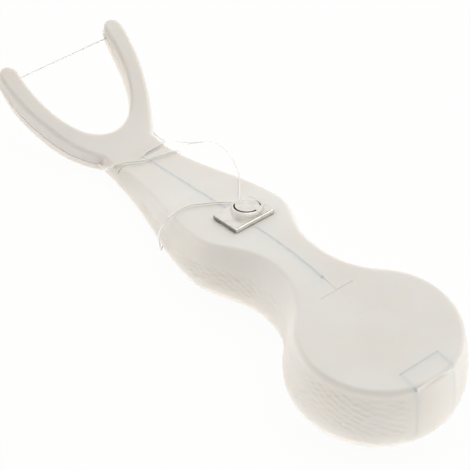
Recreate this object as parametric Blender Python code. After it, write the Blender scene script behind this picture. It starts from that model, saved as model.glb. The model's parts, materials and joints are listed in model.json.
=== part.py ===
"""A refillable floss holder: a hollow handle with a floss drum, a two-armed fork, a stamped cutter and its floss.

Units are metres. X runs along the handle from the drum to the fork, Y across it and Z up. The holder lies on the
plane z = 0, and x = 0 is halfway along it. Pieces are drawn from the drum's axis and hang on one empty there.
"""

import math

import bmesh
import bpy
from mathutils import Matrix, Vector

# Clearance between pieces that touch
GAP = 0.0003

# Drum, turned about its own upright axis
DRUM_RADIUS = 0.0195
DRUM_HEIGHT = 0.0181
WALL_SWELL = 0.0014
GRIP_LEAN = 0.0010
SWELL_HEIGHT = 0.0062
TOP_ROUND = 0.0014
BOTTOM_ROUND = 0.0036
CAVITY_RADIUS = 0.0160
ROOF = 0.0018
DRUM_FLOOR = 0.0026

# Grip, seen from above: half widths at the waist, the bulge and the neck
WAIST_FILLET = 0.0168
WAIST_X = 0.0284
WAIST_HALF = 0.0084
BULGE_X = 0.0462
BULGE_HALF = 0.0139
NECK_X = 0.0830
NECK_HALF = 0.0081

# Grip, seen from the side
TOP_FLAT_END = 0.0180
TOP_SLOPE_START = 0.0400
NECK_HEIGHT = 0.0060
HEEL_START = 0.0740
HEEL_RISE = 0.0007

# Hollow of the grip and the plate that closes it
GRIP_HOLLOW_START = 0.0310
GRIP_HOLLOW_END = 0.0700
GRIP_WALL = 0.0046
BASE_MARGIN = 0.0034
BASE_LOW = 0.0009
BASE_THICKNESS = 0.0016
BASE_END = 0.0725

# Fork: its length is from the neck to the middle of the tips' round, its rise is measured from the neck
FORK_LENGTH = 0.0331
FORK_HALF_GAP = 0.0125
FORK_DEPTH = 0.0207
ARM_WIDTH = 0.0056
ARM_FLARE_RUN = 0.0058
ARM_FLARE_OUT = 0.0045
ARM_TIP_RUN = 0.0108
ARM_ROUND = 0.0012
ARM_FOOT_ROUND = 0.0006
WEB_HALF = 0.0076
WEB_STEP = 0.0006
WEB_BOTTOM = 0.0008
WEB_LENGTH = 0.0060
FORK_RISE_START = 0.0058
FORK_RISE_END = 0.0156
BELLY_LAG = 0.0029
FORK_ANGLE = 27.4
TIP_TAPER_LENGTH = 0.0064
TIP_TAPER = 0.0017
ARM_GROOVE_DEPTH = 0.0010
ARM_GROOVE_SHARE = 0.5
ARM_LEAN = 0.0003

# Shank of the fork and its socket in the neck
SHANK_LENGTH = 0.0090
SHANK_HALF = 0.0048
SHANK_LOW = 0.0022
SHANK_COVER = 0.0014

# Post and bobbin
POST_RADIUS = 0.0024
POST_END = 0.0032
BOBBIN_RADIUS = 0.0115
BOBBIN_HUB = 0.0044
BOBBIN_FLANGE = 0.0009
BOBBIN_LOW = 0.0030
BOBBIN_PLAY = 0.0007
WINDING_RADIUS = 0.0103

# Lid under the drum, its strap up the rear wall and its hinge
LID_RADIUS = 0.0134
LID_THICKNESS = 0.0020
LID_BOSS = 0.0040
LID_EDGE_GAP = 0.0004
STRAP_HALF = 0.0051
STRAP_END = 0.0124
HINGE_X = 0.0152
HINGE_Z = 0.0012
HINGE_RADIUS = 0.0010
HINGE_HALF = 0.0042
TRUNNION_RADIUS = 0.0005
TRUNNION_LENGTH = 0.0010

# Marks and holes in the top
GROOVE_HALF = 0.0005
GROOVE_DEPTH = 0.0008
TEE_X = 0.0132
TEE_HALF = 0.0044
TEE_WIDTH = 0.0005
TEE_DEPTH = 0.0006
EXIT_X = 0.0181
EXIT_RADIUS = 0.0006
EXIT_LEAN = 0.0031
EXIT_DROP = 0.0037

# Cutter, a stamped plate on the slope of the top
CUTTER_X = 0.0458
CUTTER_Y = -0.0009
CUTTER_LENGTH = 0.0087
CUTTER_WIDTH = 0.0109
CUTTER_SHEET = 0.00035
CUTTER_LIFT = 0.0011
CUTTER_LEG_LENGTH = 0.0040
CUTTER_LEG_WIDTH = 0.0012
CUTTER_LEG_SPREAD = 0.0052
TONGUE_RADIUS = 0.0031
TONGUE_Y = -0.0011
TONGUE_RIM = 0.0009
TONGUE_RISE = 0.0013
TONGUE_TILT = 12.0

# Way of the floss under the handle: a channel beneath the neck and a notch in the grip's rim
CHANNEL_HALF = 0.0018
CHANNEL_DEPTH = 0.0009
NOTCH_FROM = (0.0635, 0.0066)
NOTCH_TO = (0.0588, 0.0136)
NOTCH_HALF = 0.0009

# Floss
FLOSS_RADIUS = 0.0002
FLOSS_STEP = 0.0010

# Counts of points round a shape
SIDE_POINTS = 11
TURN_STEPS = 48


def clear_scene():
    for old in list(bpy.data.objects):
        bpy.data.objects.remove(old, do_unlink=True)


def plastic(name, colour, roughness, metallic=0.0):
    made = bpy.data.materials.new(name)
    made.use_nodes = True
    shader = made.node_tree.nodes["Principled BSDF"]
    shader.inputs["Base Color"].default_value = (*colour, 1.0)
    shader.inputs["Roughness"].default_value = roughness
    shader.inputs["Metallic"].default_value = metallic
    return made


def empty(name, place, parent=None):
    made = bpy.data.objects.new(name, None)
    made.location = place
    made.parent = parent
    bpy.context.collection.objects.link(made)
    return made


def place_mesh(name, shape, material, parent, smooth=True):
    """Turns a bmesh into a named object on its parent, shaded smooth but for sharp edges."""
    bmesh.ops.recalc_face_normals(shape, faces=shape.faces)
    if shape.calc_volume(signed=True) < 0:
        bmesh.ops.reverse_faces(shape, faces=shape.faces)
    mesh = bpy.data.meshes.new(name)
    shape.to_mesh(mesh)
    shape.free()
    if smooth:
        mesh.shade_smooth()
        mesh.set_sharp_from_angle(angle=math.radians(35))
    mesh.materials.append(material)
    made = bpy.data.objects.new(name, mesh)
    made.parent = parent
    bpy.context.collection.objects.link(made)
    return made


def cutter(name, shape, parent):
    made = place_mesh(name, shape, GUIDE, parent, smooth=False)
    made.hide_render = True
    made.display_type = "WIRE"
    return made


def combine(target, tool, operation):
    step = target.modifiers.new(tool.name, "BOOLEAN")
    step.operation = operation
    step.solver = "EXACT"
    step.object = tool


def cut(target, *tools):
    for tool in tools:
        combine(target, tool, "DIFFERENCE")


def join(target, *tools):
    for tool in tools:
        combine(target, tool, "UNION")


def block(low, high):
    """A box between two corners."""
    shape = bmesh.new()
    size = [b - a for a, b in zip(low, high)]
    middle = [(a + b) / 2 for a, b in zip(low, high)]
    bmesh.ops.create_cube(shape, size=1.0)
    bmesh.ops.scale(shape, vec=size, verts=shape.verts)
    bmesh.ops.translate(shape, vec=middle, verts=shape.verts)
    return shape


def rod(start, end, radius, steps=16):
    """A round bar from one point to another."""
    start, end = Vector(start), Vector(end)
    turn = Vector((0, 0, 1)).rotation_difference(end - start).to_matrix().to_4x4()
    shape = bmesh.new()
    bmesh.ops.create_cone(
        shape, cap_ends=True, segments=steps, radius1=radius, radius2=radius,
        depth=(end - start).length, matrix=Matrix.Translation((start + end) / 2) @ turn,
    )
    return shape


def turned(profile, steps=TURN_STEPS):
    """Spins a closed run of (radius, height) points round the drum's axis."""
    shape = bmesh.new()
    points = [shape.verts.new((r, 0, z)) for r, z in profile]
    edges = [shape.edges.new((a, b)) for a, b in zip(points, points[1:] + points[:1])
             if a.co.x > 0 or b.co.x > 0]
    bmesh.ops.spin(
        shape, geom=points + edges, cent=(0, 0, 0), axis=(0, 0, 1),
        angle=2 * math.pi, steps=steps, use_merge=True,
    )
    bmesh.ops.remove_doubles(shape, verts=shape.verts, dist=1e-6)
    return shape


def slot_between(start, end, half, depth):
    """A straight slot in the underside from one (x, y) place to another."""
    run = Vector(end) - Vector(start)
    shape = block((0, -half, -0.001), (run.length, half, depth))
    shape.transform(Matrix.Translation((*start, 0)) @ Matrix.Rotation(math.atan2(run.y, run.x), 4, "Z"))
    return shape


def slab(outline, low, high):
    """A sheet cut to an outline of (x, z) points and stretched from y = low to y = high."""
    shape = bmesh.new()
    face = shape.faces.new([shape.verts.new((x, low, z)) for x, z in outline])
    moved = bmesh.ops.extrude_face_region(shape, geom=[face])["geom"]
    corners = [part for part in moved if isinstance(part, bmesh.types.BMVert)]
    bmesh.ops.translate(shape, vec=(0, high - low, 0), verts=corners)
    return shape


def ease(share):
    return 0.5 - 0.5 * math.cos(math.pi * share)


def top_slope():
    """Fall of the top for each metre along it, so that it comes down to the neck's height at the neck."""
    return (DRUM_HEIGHT - NECK_HEIGHT) / (NECK_X - (TOP_FLAT_END + TOP_SLOPE_START) / 2)


def top_height(x):
    """Height of the handle's top: level over the drum, then bending into a straight slope."""
    run = TOP_SLOPE_START - TOP_FLAT_END
    bent = min(max(x - TOP_FLAT_END, 0.0), run)
    straight = max(x - TOP_SLOPE_START, 0.0)
    return DRUM_HEIGHT - top_slope() * (bent * bent / (2 * run) + straight)


def heel_height(x):
    """Height of the handle's underside, which lifts a little under the neck."""
    share = min(max((x - HEEL_START) / (NECK_X - HEEL_START), 0.0), 1.0)
    return HEEL_RISE * share * share


def lean(x):
    """How far the wall leans in by the top: a little round the drum, more along the grip."""
    share = min(max(x / WAIST_X, 0.0), 1.0)
    return WALL_SWELL + GRIP_LEAN * ease(share)


def tip_x():
    """Middle of the round at the tips."""
    return NECK_X + FORK_LENGTH


def shank_top():
    return NECK_HEIGHT - SHANK_COVER


def waist_fillet_centre():
    rise = WAIST_HALF + WAIST_FILLET
    return math.sqrt((DRUM_RADIUS + WAIST_FILLET) ** 2 - rise ** 2), rise


def half_width(x):
    """Half width of the grip between the waist and the neck."""
    if x < WAIST_X:
        return WAIST_HALF
    if x < BULGE_X:
        share = (x - WAIST_X) / (BULGE_X - WAIST_X)
        return WAIST_HALF + (BULGE_HALF - WAIST_HALF) * ease(share)
    share = (x - BULGE_X) / (NECK_X - BULGE_X)
    return BULGE_HALF + (NECK_HALF - BULGE_HALF) * ease(share)


def handle_side():
    """The handle's widest outline from the rear, round the drum and along one side to the neck."""
    middle_x, middle_y = waist_fillet_centre()
    meet = math.atan2(middle_y, middle_x)
    side = []
    for i in range(2 * SIDE_POINTS):
        angle = math.pi + (meet - math.pi) * i / (2 * SIDE_POINTS)
        side.append((DRUM_RADIUS * math.cos(angle), DRUM_RADIUS * math.sin(angle)))
    for i in range(6):
        angle = meet + math.pi + (math.pi / 2 - meet) * i / 6
        side.append((middle_x + WAIST_FILLET * math.cos(angle), middle_y + WAIST_FILLET * math.sin(angle)))
    for i in range(SIDE_POINTS + 1):
        x = WAIST_X + (BULGE_X - WAIST_X) * i / (SIDE_POINTS + 1)
        side.append((x, half_width(x)))
    for i in range(SIDE_POINTS + 2):
        x = BULGE_X + (NECK_X - BULGE_X) * i / (SIDE_POINTS + 1)
        side.append((x, half_width(x)))
    return side


def grip_side(margin, start, end, count):
    """The grip's outline drawn in by a margin, between two places along it."""
    places = [start + (end - start) * i / (count - 1) for i in range(count)]
    return [(x, half_width(x) - margin) for x in places]


def mirrored_ring(side):
    """A closed ring from one side's points, and the strips that close it: both sides run from rear to front."""
    on_axis = side[0][1] < 1e-9
    side = [(x, abs(y)) for x, y in side]
    right = [(x, -y) for x, y in side]
    left = [(x, y) for x, y in reversed(side[1:] if on_axis else side)]
    ring = right + left
    last = len(ring) - 1
    partner = (lambda i: len(ring) - i) if on_axis else (lambda i: last - i)
    strips = []
    for i in range(len(side) - 1):
        a, b = partner(i + 1), partner(i)
        strips.append([i, i + 1, a] if on_axis and i == 0 else [i, i + 1, a, b])
    return ring, strips


def drawn_in(ring, amounts):
    """Moves each point of a ring inwards by its own amount, mitred at corners."""
    moved = []
    count = len(ring)
    for i, (x, y) in enumerate(ring):
        before, after = Vector(ring[i - 1]), Vector(ring[(i + 1) % count])
        here = Vector((x, y))
        one = (here - before).normalized()
        two = (after - here).normalized()
        inward = Vector((-one.y - two.y, one.x + two.x))
        inward.normalize()
        mitre = max(inward.dot(Vector((-one.y, one.x))), 0.7)
        moved.append(here + inward * (amounts[i] / mitre))
    return moved


def stacked(ring, strips, levels, low, high):
    """A body of level rings. A level is a function of x that gives how far it is drawn in, and its share of height."""
    shape = bmesh.new()
    rows = []
    for inset, share in levels:
        places = drawn_in(ring, [inset(i) for i in range(len(ring))])
        row = []
        for x, y in places:
            row.append(shape.verts.new((x, y, low(x) + share(x) * (high(x) - low(x)))))
        rows.append(row)
    for below, above in zip(rows, rows[1:]):
        for i in range(len(ring)):
            j = (i + 1) % len(ring)
            shape.faces.new((below[i], below[j], above[j], above[i]))
    for strip in strips:
        shape.faces.new([rows[-1][i] for i in strip])
        shape.faces.new([rows[0][i] for i in reversed(strip)])
    return shape


def handle_outer():
    """The handle's outer form: round below, swelling partway up, and round along its top edge."""
    ring, strips = mirrored_ring(handle_side())
    low_size = [top_height(x) / DRUM_HEIGHT for x, _ in ring]
    high_size = [math.sqrt(size) for size in low_size]
    lean_size = [size * lean(x) / WALL_SWELL for size, (x, _) in zip(high_size, ring)]
    profile = []
    for i in range(6):
        turn = math.pi / 2 * i / 6
        profile.append((low_size, BOTTOM_ROUND * (1 - math.sin(turn)), SWELL_HEIGHT * (1 - math.cos(turn))))
    wall = DRUM_HEIGHT - TOP_ROUND - SWELL_HEIGHT
    for i in range(4):
        share = i / 3
        profile.append((lean_size, WALL_SWELL * share * share, SWELL_HEIGHT + wall * share))
    for i in range(1, 4):
        turn = math.pi / 2 * i / 3
        edge = TOP_ROUND * (1 - math.cos(turn))
        rounded = [wide + size * edge / WALL_SWELL for wide, size in zip(lean_size, high_size)]
        profile.append((rounded, WALL_SWELL, DRUM_HEIGHT - TOP_ROUND * (1 - math.sin(turn))))
    levels = [(lambda i, s=s, d=d: d * s[i], lambda x, z=z: z / DRUM_HEIGHT) for s, d, z in profile]
    return stacked(ring, strips, levels, heel_height, top_height)


def upright(side, low, high):
    """A straight-sided body on a mirrored outline, between two height functions."""
    ring, strips = mirrored_ring(side)
    levels = [(lambda i: 0.0, lambda x: 0.0), (lambda i: 0.0, lambda x: 1.0)]
    return stacked(ring, strips, levels, low, high)


def along_top(start, end, depth, above, half, steps=16):
    """A cutter that follows the handle's top line from start to end."""
    places = [start + (end - start) * i / steps for i in range(steps + 1)]
    floor = [(x, top_height(x) - depth) for x in places]
    lid = [(x, top_height(x) + above) for x in reversed(places)]
    return slab(floor + lid, -half, half)


def cavity_profile():
    """Hollow of the drum, open below, with the bobbin's post left standing from its roof."""
    roof = DRUM_HEIGHT - ROOF
    mouth = LID_RADIUS + LID_EDGE_GAP
    return [
        (0, -0.001), (mouth, -0.001), (mouth, DRUM_FLOOR), (CAVITY_RADIUS, DRUM_FLOOR),
        (CAVITY_RADIUS, roof), (POST_RADIUS, roof), (POST_RADIUS, POST_END), (0, POST_END),
    ]


def exit_line():
    """Mouth of the pinhole in the top and the way that it leans up out of the drum."""
    return Vector((EXIT_X, 0, DRUM_HEIGHT)), Vector((EXIT_LEAN, 0, EXIT_DROP))


def cutter_frame():
    """Place and turn of the cutter's plate: its Z is square to the sloping top."""
    tilt = Matrix.Rotation(math.atan(top_slope()), 4, "Y")
    return Matrix.Translation((CUTTER_X, CUTTER_Y, top_height(CUTTER_X))) @ tilt


def leg_places():
    side = CUTTER_WIDTH / 2 - CUTTER_SHEET / 2
    return [(x, y) for x in (-CUTTER_LEG_SPREAD / 2, CUTTER_LEG_SPREAD / 2) for y in (-side, side)]


def make_handle(home):
    handle = place_mesh("handle_shell", handle_outer(), WHITE, home)
    drum = cutter("drum_hollow", turned(cavity_profile()), home)
    notch_half = STRAP_HALF + GAP
    notch = cutter("strap_notch", block(
        (-DRUM_RADIUS - 0.002, -notch_half, -0.001),
        (-STRAP_END + GAP, notch_half, DRUM_HEIGHT + 0.001),
    ), home)
    hinge_half = HINGE_HALF + GAP
    hinge_slot = cutter("hinge_slot", block(
        (LID_RADIUS - 0.0015, -hinge_half, -0.001),
        (HINGE_X + HINGE_RADIUS + GAP + 0.0002, hinge_half, DRUM_FLOOR),
    ), home)
    bore = TRUNNION_RADIUS + GAP
    reach = HINGE_HALF + TRUNNION_LENGTH + GAP
    hinge_bore = cutter("hinge_bore", rod((HINGE_X, -reach, HINGE_Z), (HINGE_X, reach, HINGE_Z), bore), home)
    hollow_low = BASE_LOW + BASE_THICKNESS + GAP
    hollow = cutter("grip_hollow", upright(
        grip_side(GRIP_WALL, GRIP_HOLLOW_START, GRIP_HOLLOW_END, 14),
        lambda x: hollow_low - 0.0002, lambda x: top_height(x) - ROOF,
    ), home)
    seat = cutter("base_seat", upright(
        grip_side(BASE_MARGIN - GAP, GRIP_HOLLOW_START - 0.0015 - GAP, BASE_END + GAP, 16),
        lambda x: -0.001, lambda x: hollow_low,
    ), home)
    socket = cutter("neck_socket", block(
        (NECK_X - SHANK_LENGTH - GAP, -SHANK_HALF - GAP, SHANK_LOW - GAP),
        (NECK_X + 0.001, SHANK_HALF + GAP, shank_top() + GAP),
    ), home)
    channel = cutter("heel_channel", block(
        (BASE_END - 0.001, -CHANNEL_HALF, -0.001), (NECK_X + 0.001, CHANNEL_HALF, CHANNEL_DEPTH),
    ), home)
    rim_notch = cutter("rim_notch", slot_between(NOTCH_FROM, NOTCH_TO, NOTCH_HALF, CHANNEL_DEPTH), home)
    groove = cutter("floss_groove", along_top(EXIT_X, NECK_X + 0.001, GROOVE_DEPTH, 0.001, GROOVE_HALF), home)
    tee = cutter("tee_mark", block(
        (TEE_X - TEE_WIDTH / 2, -TEE_HALF, DRUM_HEIGHT - TEE_DEPTH),
        (TEE_X + TEE_WIDTH / 2, TEE_HALF, DRUM_HEIGHT + 0.001),
    ), home)
    mouth, lean = exit_line()
    exit_hole = cutter("floss_exit", rod(mouth - lean * 1.2, mouth + lean * 0.3, EXIT_RADIUS, 12), home)
    slots = []
    for number, (x, y) in enumerate(leg_places()):
        slot = block(
            (x - CUTTER_LEG_WIDTH / 2 - GAP, y - CUTTER_SHEET / 2 - GAP, -CUTTER_LEG_LENGTH),
            (x + CUTTER_LEG_WIDTH / 2 + GAP, y + CUTTER_SHEET / 2 + GAP, 0.001),
        )
        slot.transform(cutter_frame())
        slots.append(cutter(f"leg_slot_{number}", slot, home))
    cut(handle, drum, notch, hinge_slot, hinge_bore, hollow, seat, socket, channel, rim_notch)
    cut(handle, groove, tee, exit_hole, *slots)
    return handle


def make_base(home):
    side = grip_side(BASE_MARGIN, GRIP_HOLLOW_START - 0.0015, BASE_END, 16)
    return place_mesh("base_cover", upright(
        side, lambda x: BASE_LOW, lambda x: BASE_LOW + BASE_THICKNESS,
    ), WHITE, home)


def web_top():
    return NECK_HEIGHT - WEB_STEP


def fork_rise(along):
    """How far the fork has risen at a distance from the neck: level over the web, then bending into a slope."""
    run = FORK_RISE_END - FORK_RISE_START
    bent = min(max(along - FORK_RISE_START, 0.0), run)
    straight = max(along - FORK_RISE_END, 0.0)
    return math.tan(math.radians(FORK_ANGLE)) * (bent * bent / (2 * run) + straight)


def fork_top(x):
    return web_top() + fork_rise(x - NECK_X)


def fork_bottom(x):
    """The underside rises a little later than the top, and further still at the tips, which are rounded off below."""
    taper = min(max((x - tip_x() + TIP_TAPER_LENGTH) / TIP_TAPER_LENGTH, 0.0), 1.0)
    return WEB_BOTTOM + fork_rise(x - NECK_X - BELLY_LAG) + TIP_TAPER * taper * taper


def bezier(a, b, c, d, share):
    rest = 1 - share
    return tuple(
        rest ** 3 * p + 3 * rest ** 2 * share * q + 3 * rest * share ** 2 * r + share ** 3 * s
        for p, q, r, s in zip(a, b, c, d)
    )


def fork_half():
    """Half of the fork's plan: the web's end and side, the arm's outer line, its tip, then the inner line back."""
    start = NECK_X + GAP
    flare = start + WEB_LENGTH
    outer = [(start, 0.0), (start, WEB_HALF * 0.55), (start, WEB_HALF), (start + WEB_LENGTH / 2, WEB_HALF)]
    tip_out = FORK_HALF_GAP + ARM_WIDTH
    knots = (
        (flare, WEB_HALF), (flare + ARM_FLARE_RUN, WEB_HALF + ARM_FLARE_OUT),
        (tip_x() - ARM_TIP_RUN, tip_out), (tip_x(), tip_out),
    )
    count = 14
    outer += [bezier(*knots, i / count) for i in range(count + 1)]
    steps = 6
    tip = []
    for i in range(1, steps):
        turn = math.pi / 2 - math.pi * i / steps
        tip.append((
            tip_x() + ARM_WIDTH / 2 * math.cos(turn),
            FORK_HALF_GAP + ARM_WIDTH / 2 + ARM_WIDTH / 2 * math.sin(turn),
        ))
    inner = []
    for i in range(len(outer)):
        turn = math.pi / 2 * i / (len(outer) - 1)
        inner.append((tip_x() - FORK_DEPTH * math.cos(turn), FORK_HALF_GAP * math.sin(turn)))
    return outer, tip, inner


def fork_ring():
    outer, tip, inner = fork_half()
    half = outer + tip + inner[::-1]
    last = len(half) - 1
    ring = [(x, -y) for x, y in half] + [(x, y) for x, y in reversed(half[1:-1])]
    faces = []
    for i in range(len(outer) - 1):
        faces.append([i, i + 1, last - i - 1, last - i])
    faces.append(list(range(len(outer) - 1, len(outer) + len(tip) + 1)))
    other = [[(2 * last - i) % len(ring) for i in reversed(face)] for face in faces]
    grooved = [len(outer) - 15 <= i <= len(outer) + len(tip) for i in range(len(half))]
    grooved += grooved[-2:0:-1]
    return ring, faces + other, grooved


def make_fork(home):
    ring, faces, grooved = fork_ring()
    round_share = 0.28
    width = 0.16
    levels = []
    for i in range(4):
        turn = math.pi / 2 * i / 3
        levels.append((
            lambda i, d=ARM_FOOT_ROUND * (1 - math.sin(turn)): d,
            lambda x, u=round_share * (1 - math.cos(turn)): u,
        ))
    for offset, depth in ((-width, 0), (-width * 0.8, 1), (width * 0.8, 1), (width, 0)):
        levels.append((
            lambda i, k=depth: ARM_GROOVE_DEPTH * k if grooved[i] else 0.0,
            lambda x, o=offset: ARM_GROOVE_SHARE + o,
        ))
    for i in range(4):
        turn = math.pi / 2 * i / 3
        levels.append((
            lambda i, d=ARM_LEAN + ARM_ROUND * (1 - math.cos(turn)): d,
            lambda x, u=math.sin(turn): 1 - (1 - ARM_GROOVE_SHARE - width) * (1 - u) * 0.8,
        ))
    fork = place_mesh("fork", stacked(ring, faces, levels, fork_bottom, fork_top), WHITE, home)
    shank = cutter("fork_shank", block(
        (NECK_X - SHANK_LENGTH, -SHANK_HALF, SHANK_LOW),
        (NECK_X + WEB_LENGTH / 2, SHANK_HALF, shank_top()),
    ), home)
    join(fork, shank)
    return fork


def make_lid(home):
    """The round lid with its boss, the strap up the rear wall and the barrel that it turns on."""
    hinge = empty("lid_axis", (HINGE_X, 0, HINGE_Z), home)
    back = Matrix.Translation((-HINGE_X, 0, -HINGE_Z))

    def moved(shape):
        shape.transform(back)
        return shape

    disc = turned([
        (0, 0), (LID_RADIUS, 0), (LID_RADIUS, LID_THICKNESS), (LID_BOSS, LID_THICKNESS),
        (LID_BOSS, BOBBIN_LOW - GAP), (0, BOBBIN_LOW - GAP),
    ])
    lid = place_mesh("drum_lid", moved(disc), WHITE, hinge)
    strap = cutter("strap_form", moved(handle_outer()), hinge)
    keep = cutter("strap_reach", moved(block(
        (-DRUM_RADIUS - 0.002, -STRAP_HALF, -0.001),
        (-STRAP_END, STRAP_HALF, DRUM_HEIGHT + 0.001),
    )), hinge)
    hollow = cutter("strap_hollow", moved(turned([
        (0, LID_THICKNESS), (CAVITY_RADIUS, LID_THICKNESS),
        (CAVITY_RADIUS, DRUM_HEIGHT - ROOF), (0, DRUM_HEIGHT - ROOF),
    ])), hinge)
    combine(strap, keep, "INTERSECT")
    cut(strap, hollow)
    tongue = cutter("hinge_tongue", moved(block(
        (LID_RADIUS - 0.0012, -HINGE_HALF, GAP),
        (HINGE_X, HINGE_HALF, LID_THICKNESS),
    )), hinge)
    barrel = cutter("hinge_barrel", moved(rod(
        (HINGE_X, -HINGE_HALF, HINGE_Z), (HINGE_X, HINGE_HALF, HINGE_Z), HINGE_RADIUS,
    )), hinge)
    reach = HINGE_HALF + TRUNNION_LENGTH
    pin = cutter("hinge_pin", moved(rod(
        (HINGE_X, -reach, HINGE_Z), (HINGE_X, reach, HINGE_Z), TRUNNION_RADIUS, 12,
    )), hinge)
    join(lid, strap, tongue, barrel, pin)
    return lid


def make_bobbin(home):
    axle = empty("bobbin_axis", (0, 0, BOBBIN_LOW), home)
    bore = POST_RADIUS + GAP
    top = DRUM_HEIGHT - ROOF - BOBBIN_PLAY - BOBBIN_LOW
    place_mesh("bobbin", turned([
        (bore, 0), (BOBBIN_RADIUS, 0), (BOBBIN_RADIUS, BOBBIN_FLANGE), (BOBBIN_HUB, BOBBIN_FLANGE),
        (BOBBIN_HUB, top - BOBBIN_FLANGE), (BOBBIN_RADIUS, top - BOBBIN_FLANGE), (BOBBIN_RADIUS, top), (bore, top),
    ]), GREY, axle)
    low, high = BOBBIN_FLANGE + GAP, top - BOBBIN_FLANGE - GAP
    inner = BOBBIN_HUB + GAP
    place_mesh("floss_winding", turned([
        (inner, low), (WINDING_RADIUS, low), (WINDING_RADIUS, high), (inner, high),
    ]), FLOSS, axle)


def make_cutter(home):
    """A sheet with folded sides and four legs, and a round tongue lifted out of it on one side."""
    half_x, half_y = CUTTER_LENGTH / 2, CUTTER_WIDTH / 2
    sheet, lift = CUTTER_SHEET, CUTTER_LIFT
    frame = cutter_frame()

    def framed(shape):
        shape.transform(frame)
        return shape

    section = [
        (-half_y, GAP), (-half_y + sheet, GAP), (-half_y + sheet, lift - sheet), (half_y - sheet, lift - sheet),
        (half_y - sheet, GAP), (half_y, GAP), (half_y, lift), (-half_y, lift),
    ]
    folded = slab(section, -half_x, half_x)
    folded.transform(Matrix.Rotation(math.pi / 2, 4, "Z"))
    plate = place_mesh("cutter_plate", framed(folded), STEEL, home, smooth=False)
    window = cutter("cutter_window", framed(rod(
        (0, TONGUE_Y, -0.001), (0, TONGUE_Y, lift + 0.001), TONGUE_RADIUS - 0.0004, 28,
    )), home)
    cut(plate, window)
    legs = []
    for number, (x, y) in enumerate(leg_places()):
        legs.append(cutter(f"cutter_leg_{number}", framed(block(
            (x - CUTTER_LEG_WIDTH / 2, y - sheet * 0.4, -CUTTER_LEG_LENGTH + GAP),
            (x + CUTTER_LEG_WIDTH / 2, y + sheet * 0.4, GAP + sheet / 2),
        )), home))
    join(plate, *legs)
    dish = turned([
        (0, -sheet), (TONGUE_RADIUS - sheet, -sheet / 2), (TONGUE_RADIUS - sheet, -TONGUE_RIM),
        (TONGUE_RADIUS, -TONGUE_RIM), (TONGUE_RADIUS, sheet), (TONGUE_RADIUS - sheet, sheet), (0, 0),
    ], 28)
    tilt = Matrix.Rotation(math.radians(TONGUE_TILT), 4, "X")
    dish.transform(Matrix.Translation((0, TONGUE_Y, lift + TONGUE_RISE)) @ tilt)
    tongue = cutter("cutter_tongue", framed(dish), home)
    root = cutter("tongue_root", framed(block(
        (-TONGUE_RADIUS * 0.7, TONGUE_Y - TONGUE_RADIUS - sheet, lift - sheet / 2),
        (TONGUE_RADIUS * 0.7, TONGUE_Y - TONGUE_RADIUS + sheet * 1.5, lift + TONGUE_RISE - 0.0006),
    )), home)
    join(plate, tongue, root)
    return plate


def smooth_route(knots, step=FLOSS_STEP):
    """Evenly spaced points on a smooth curve through the knots."""
    knots = [Vector(knot) for knot in knots]
    ends = [knots[0] * 2 - knots[1]] + knots + [knots[-1] * 2 - knots[-2]]
    fine = []
    for a, b, c, d in zip(ends, ends[1:], ends[2:], ends[3:]):
        one, two, three = [max((q - p).length, 1e-9) ** 0.5 for p, q in ((a, b), (b, c), (c, d))]
        leave = ((b - a) / one - (c - a) / (one + two) + (c - b) / two) * two
        arrive = ((c - b) / two - (d - b) / (two + three) + (d - c) / three) * two
        for i in range(24):
            t = i / 24
            fine.append(
                b * (2 * t ** 3 - 3 * t ** 2 + 1) + leave * (t ** 3 - 2 * t ** 2 + t)
                + c * (3 * t ** 2 - 2 * t ** 3) + arrive * (t ** 3 - t ** 2)
            )
    fine.append(knots[-1])
    reach = [0.0]
    for p, q in zip(fine, fine[1:]):
        reach.append(reach[-1] + (q - p).length)
    count = max(int(round(reach[-1] / step)), 2)
    points, at = [], 0
    for i in range(count + 1):
        goal = reach[-1] * i / count
        while at < len(fine) - 2 and reach[at + 1] < goal:
            at += 1
        share = (goal - reach[at]) / max(reach[at + 1] - reach[at], 1e-12)
        points.append(fine[at].lerp(fine[at + 1], min(share, 1.0)))
    return points


def cord(name, points, home):
    """A round thread through the points."""
    line = bpy.data.curves.new(name, "CURVE")
    line.dimensions = "3D"
    line.bevel_depth = FLOSS_RADIUS
    line.bevel_resolution = 2
    line.use_fill_caps = True
    spline = line.splines.new("POLY")
    spline.points.add(len(points) - 1)
    for spot, point in zip(spline.points, points):
        spot.co = (*point, 1.0)
    line.materials.append(FLOSS)
    made = bpy.data.objects.new(name, line)
    made.parent = home
    bpy.context.collection.objects.link(made)
    return made


def millimetres(*knots):
    return [tuple(value / 1000 for value in knot) for knot in knots]


def groove_line():
    """Way of the floss in the groove of the left arm, from the web to just past the tip."""
    outer, tip, _ = fork_half()
    ring, _, grooved = fork_ring()
    places = drawn_in(ring, [ARM_GROOVE_DEPTH - FLOSS_RADIUS - GAP] * len(ring))
    line = []
    for i in range(len(outer) - 14, len(outer) + len(tip) + 1):
        x, y = places[len(ring) - i]
        line.append((x, y, fork_bottom(x) + ARM_GROOVE_SHARE * (fork_top(x) - fork_bottom(x))))
    x, y, z = line[-1]
    return line[:-1] + [(x + 0.0001, y - 0.0001, z), (x + 0.0001, y - 0.0011, z)]


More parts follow.
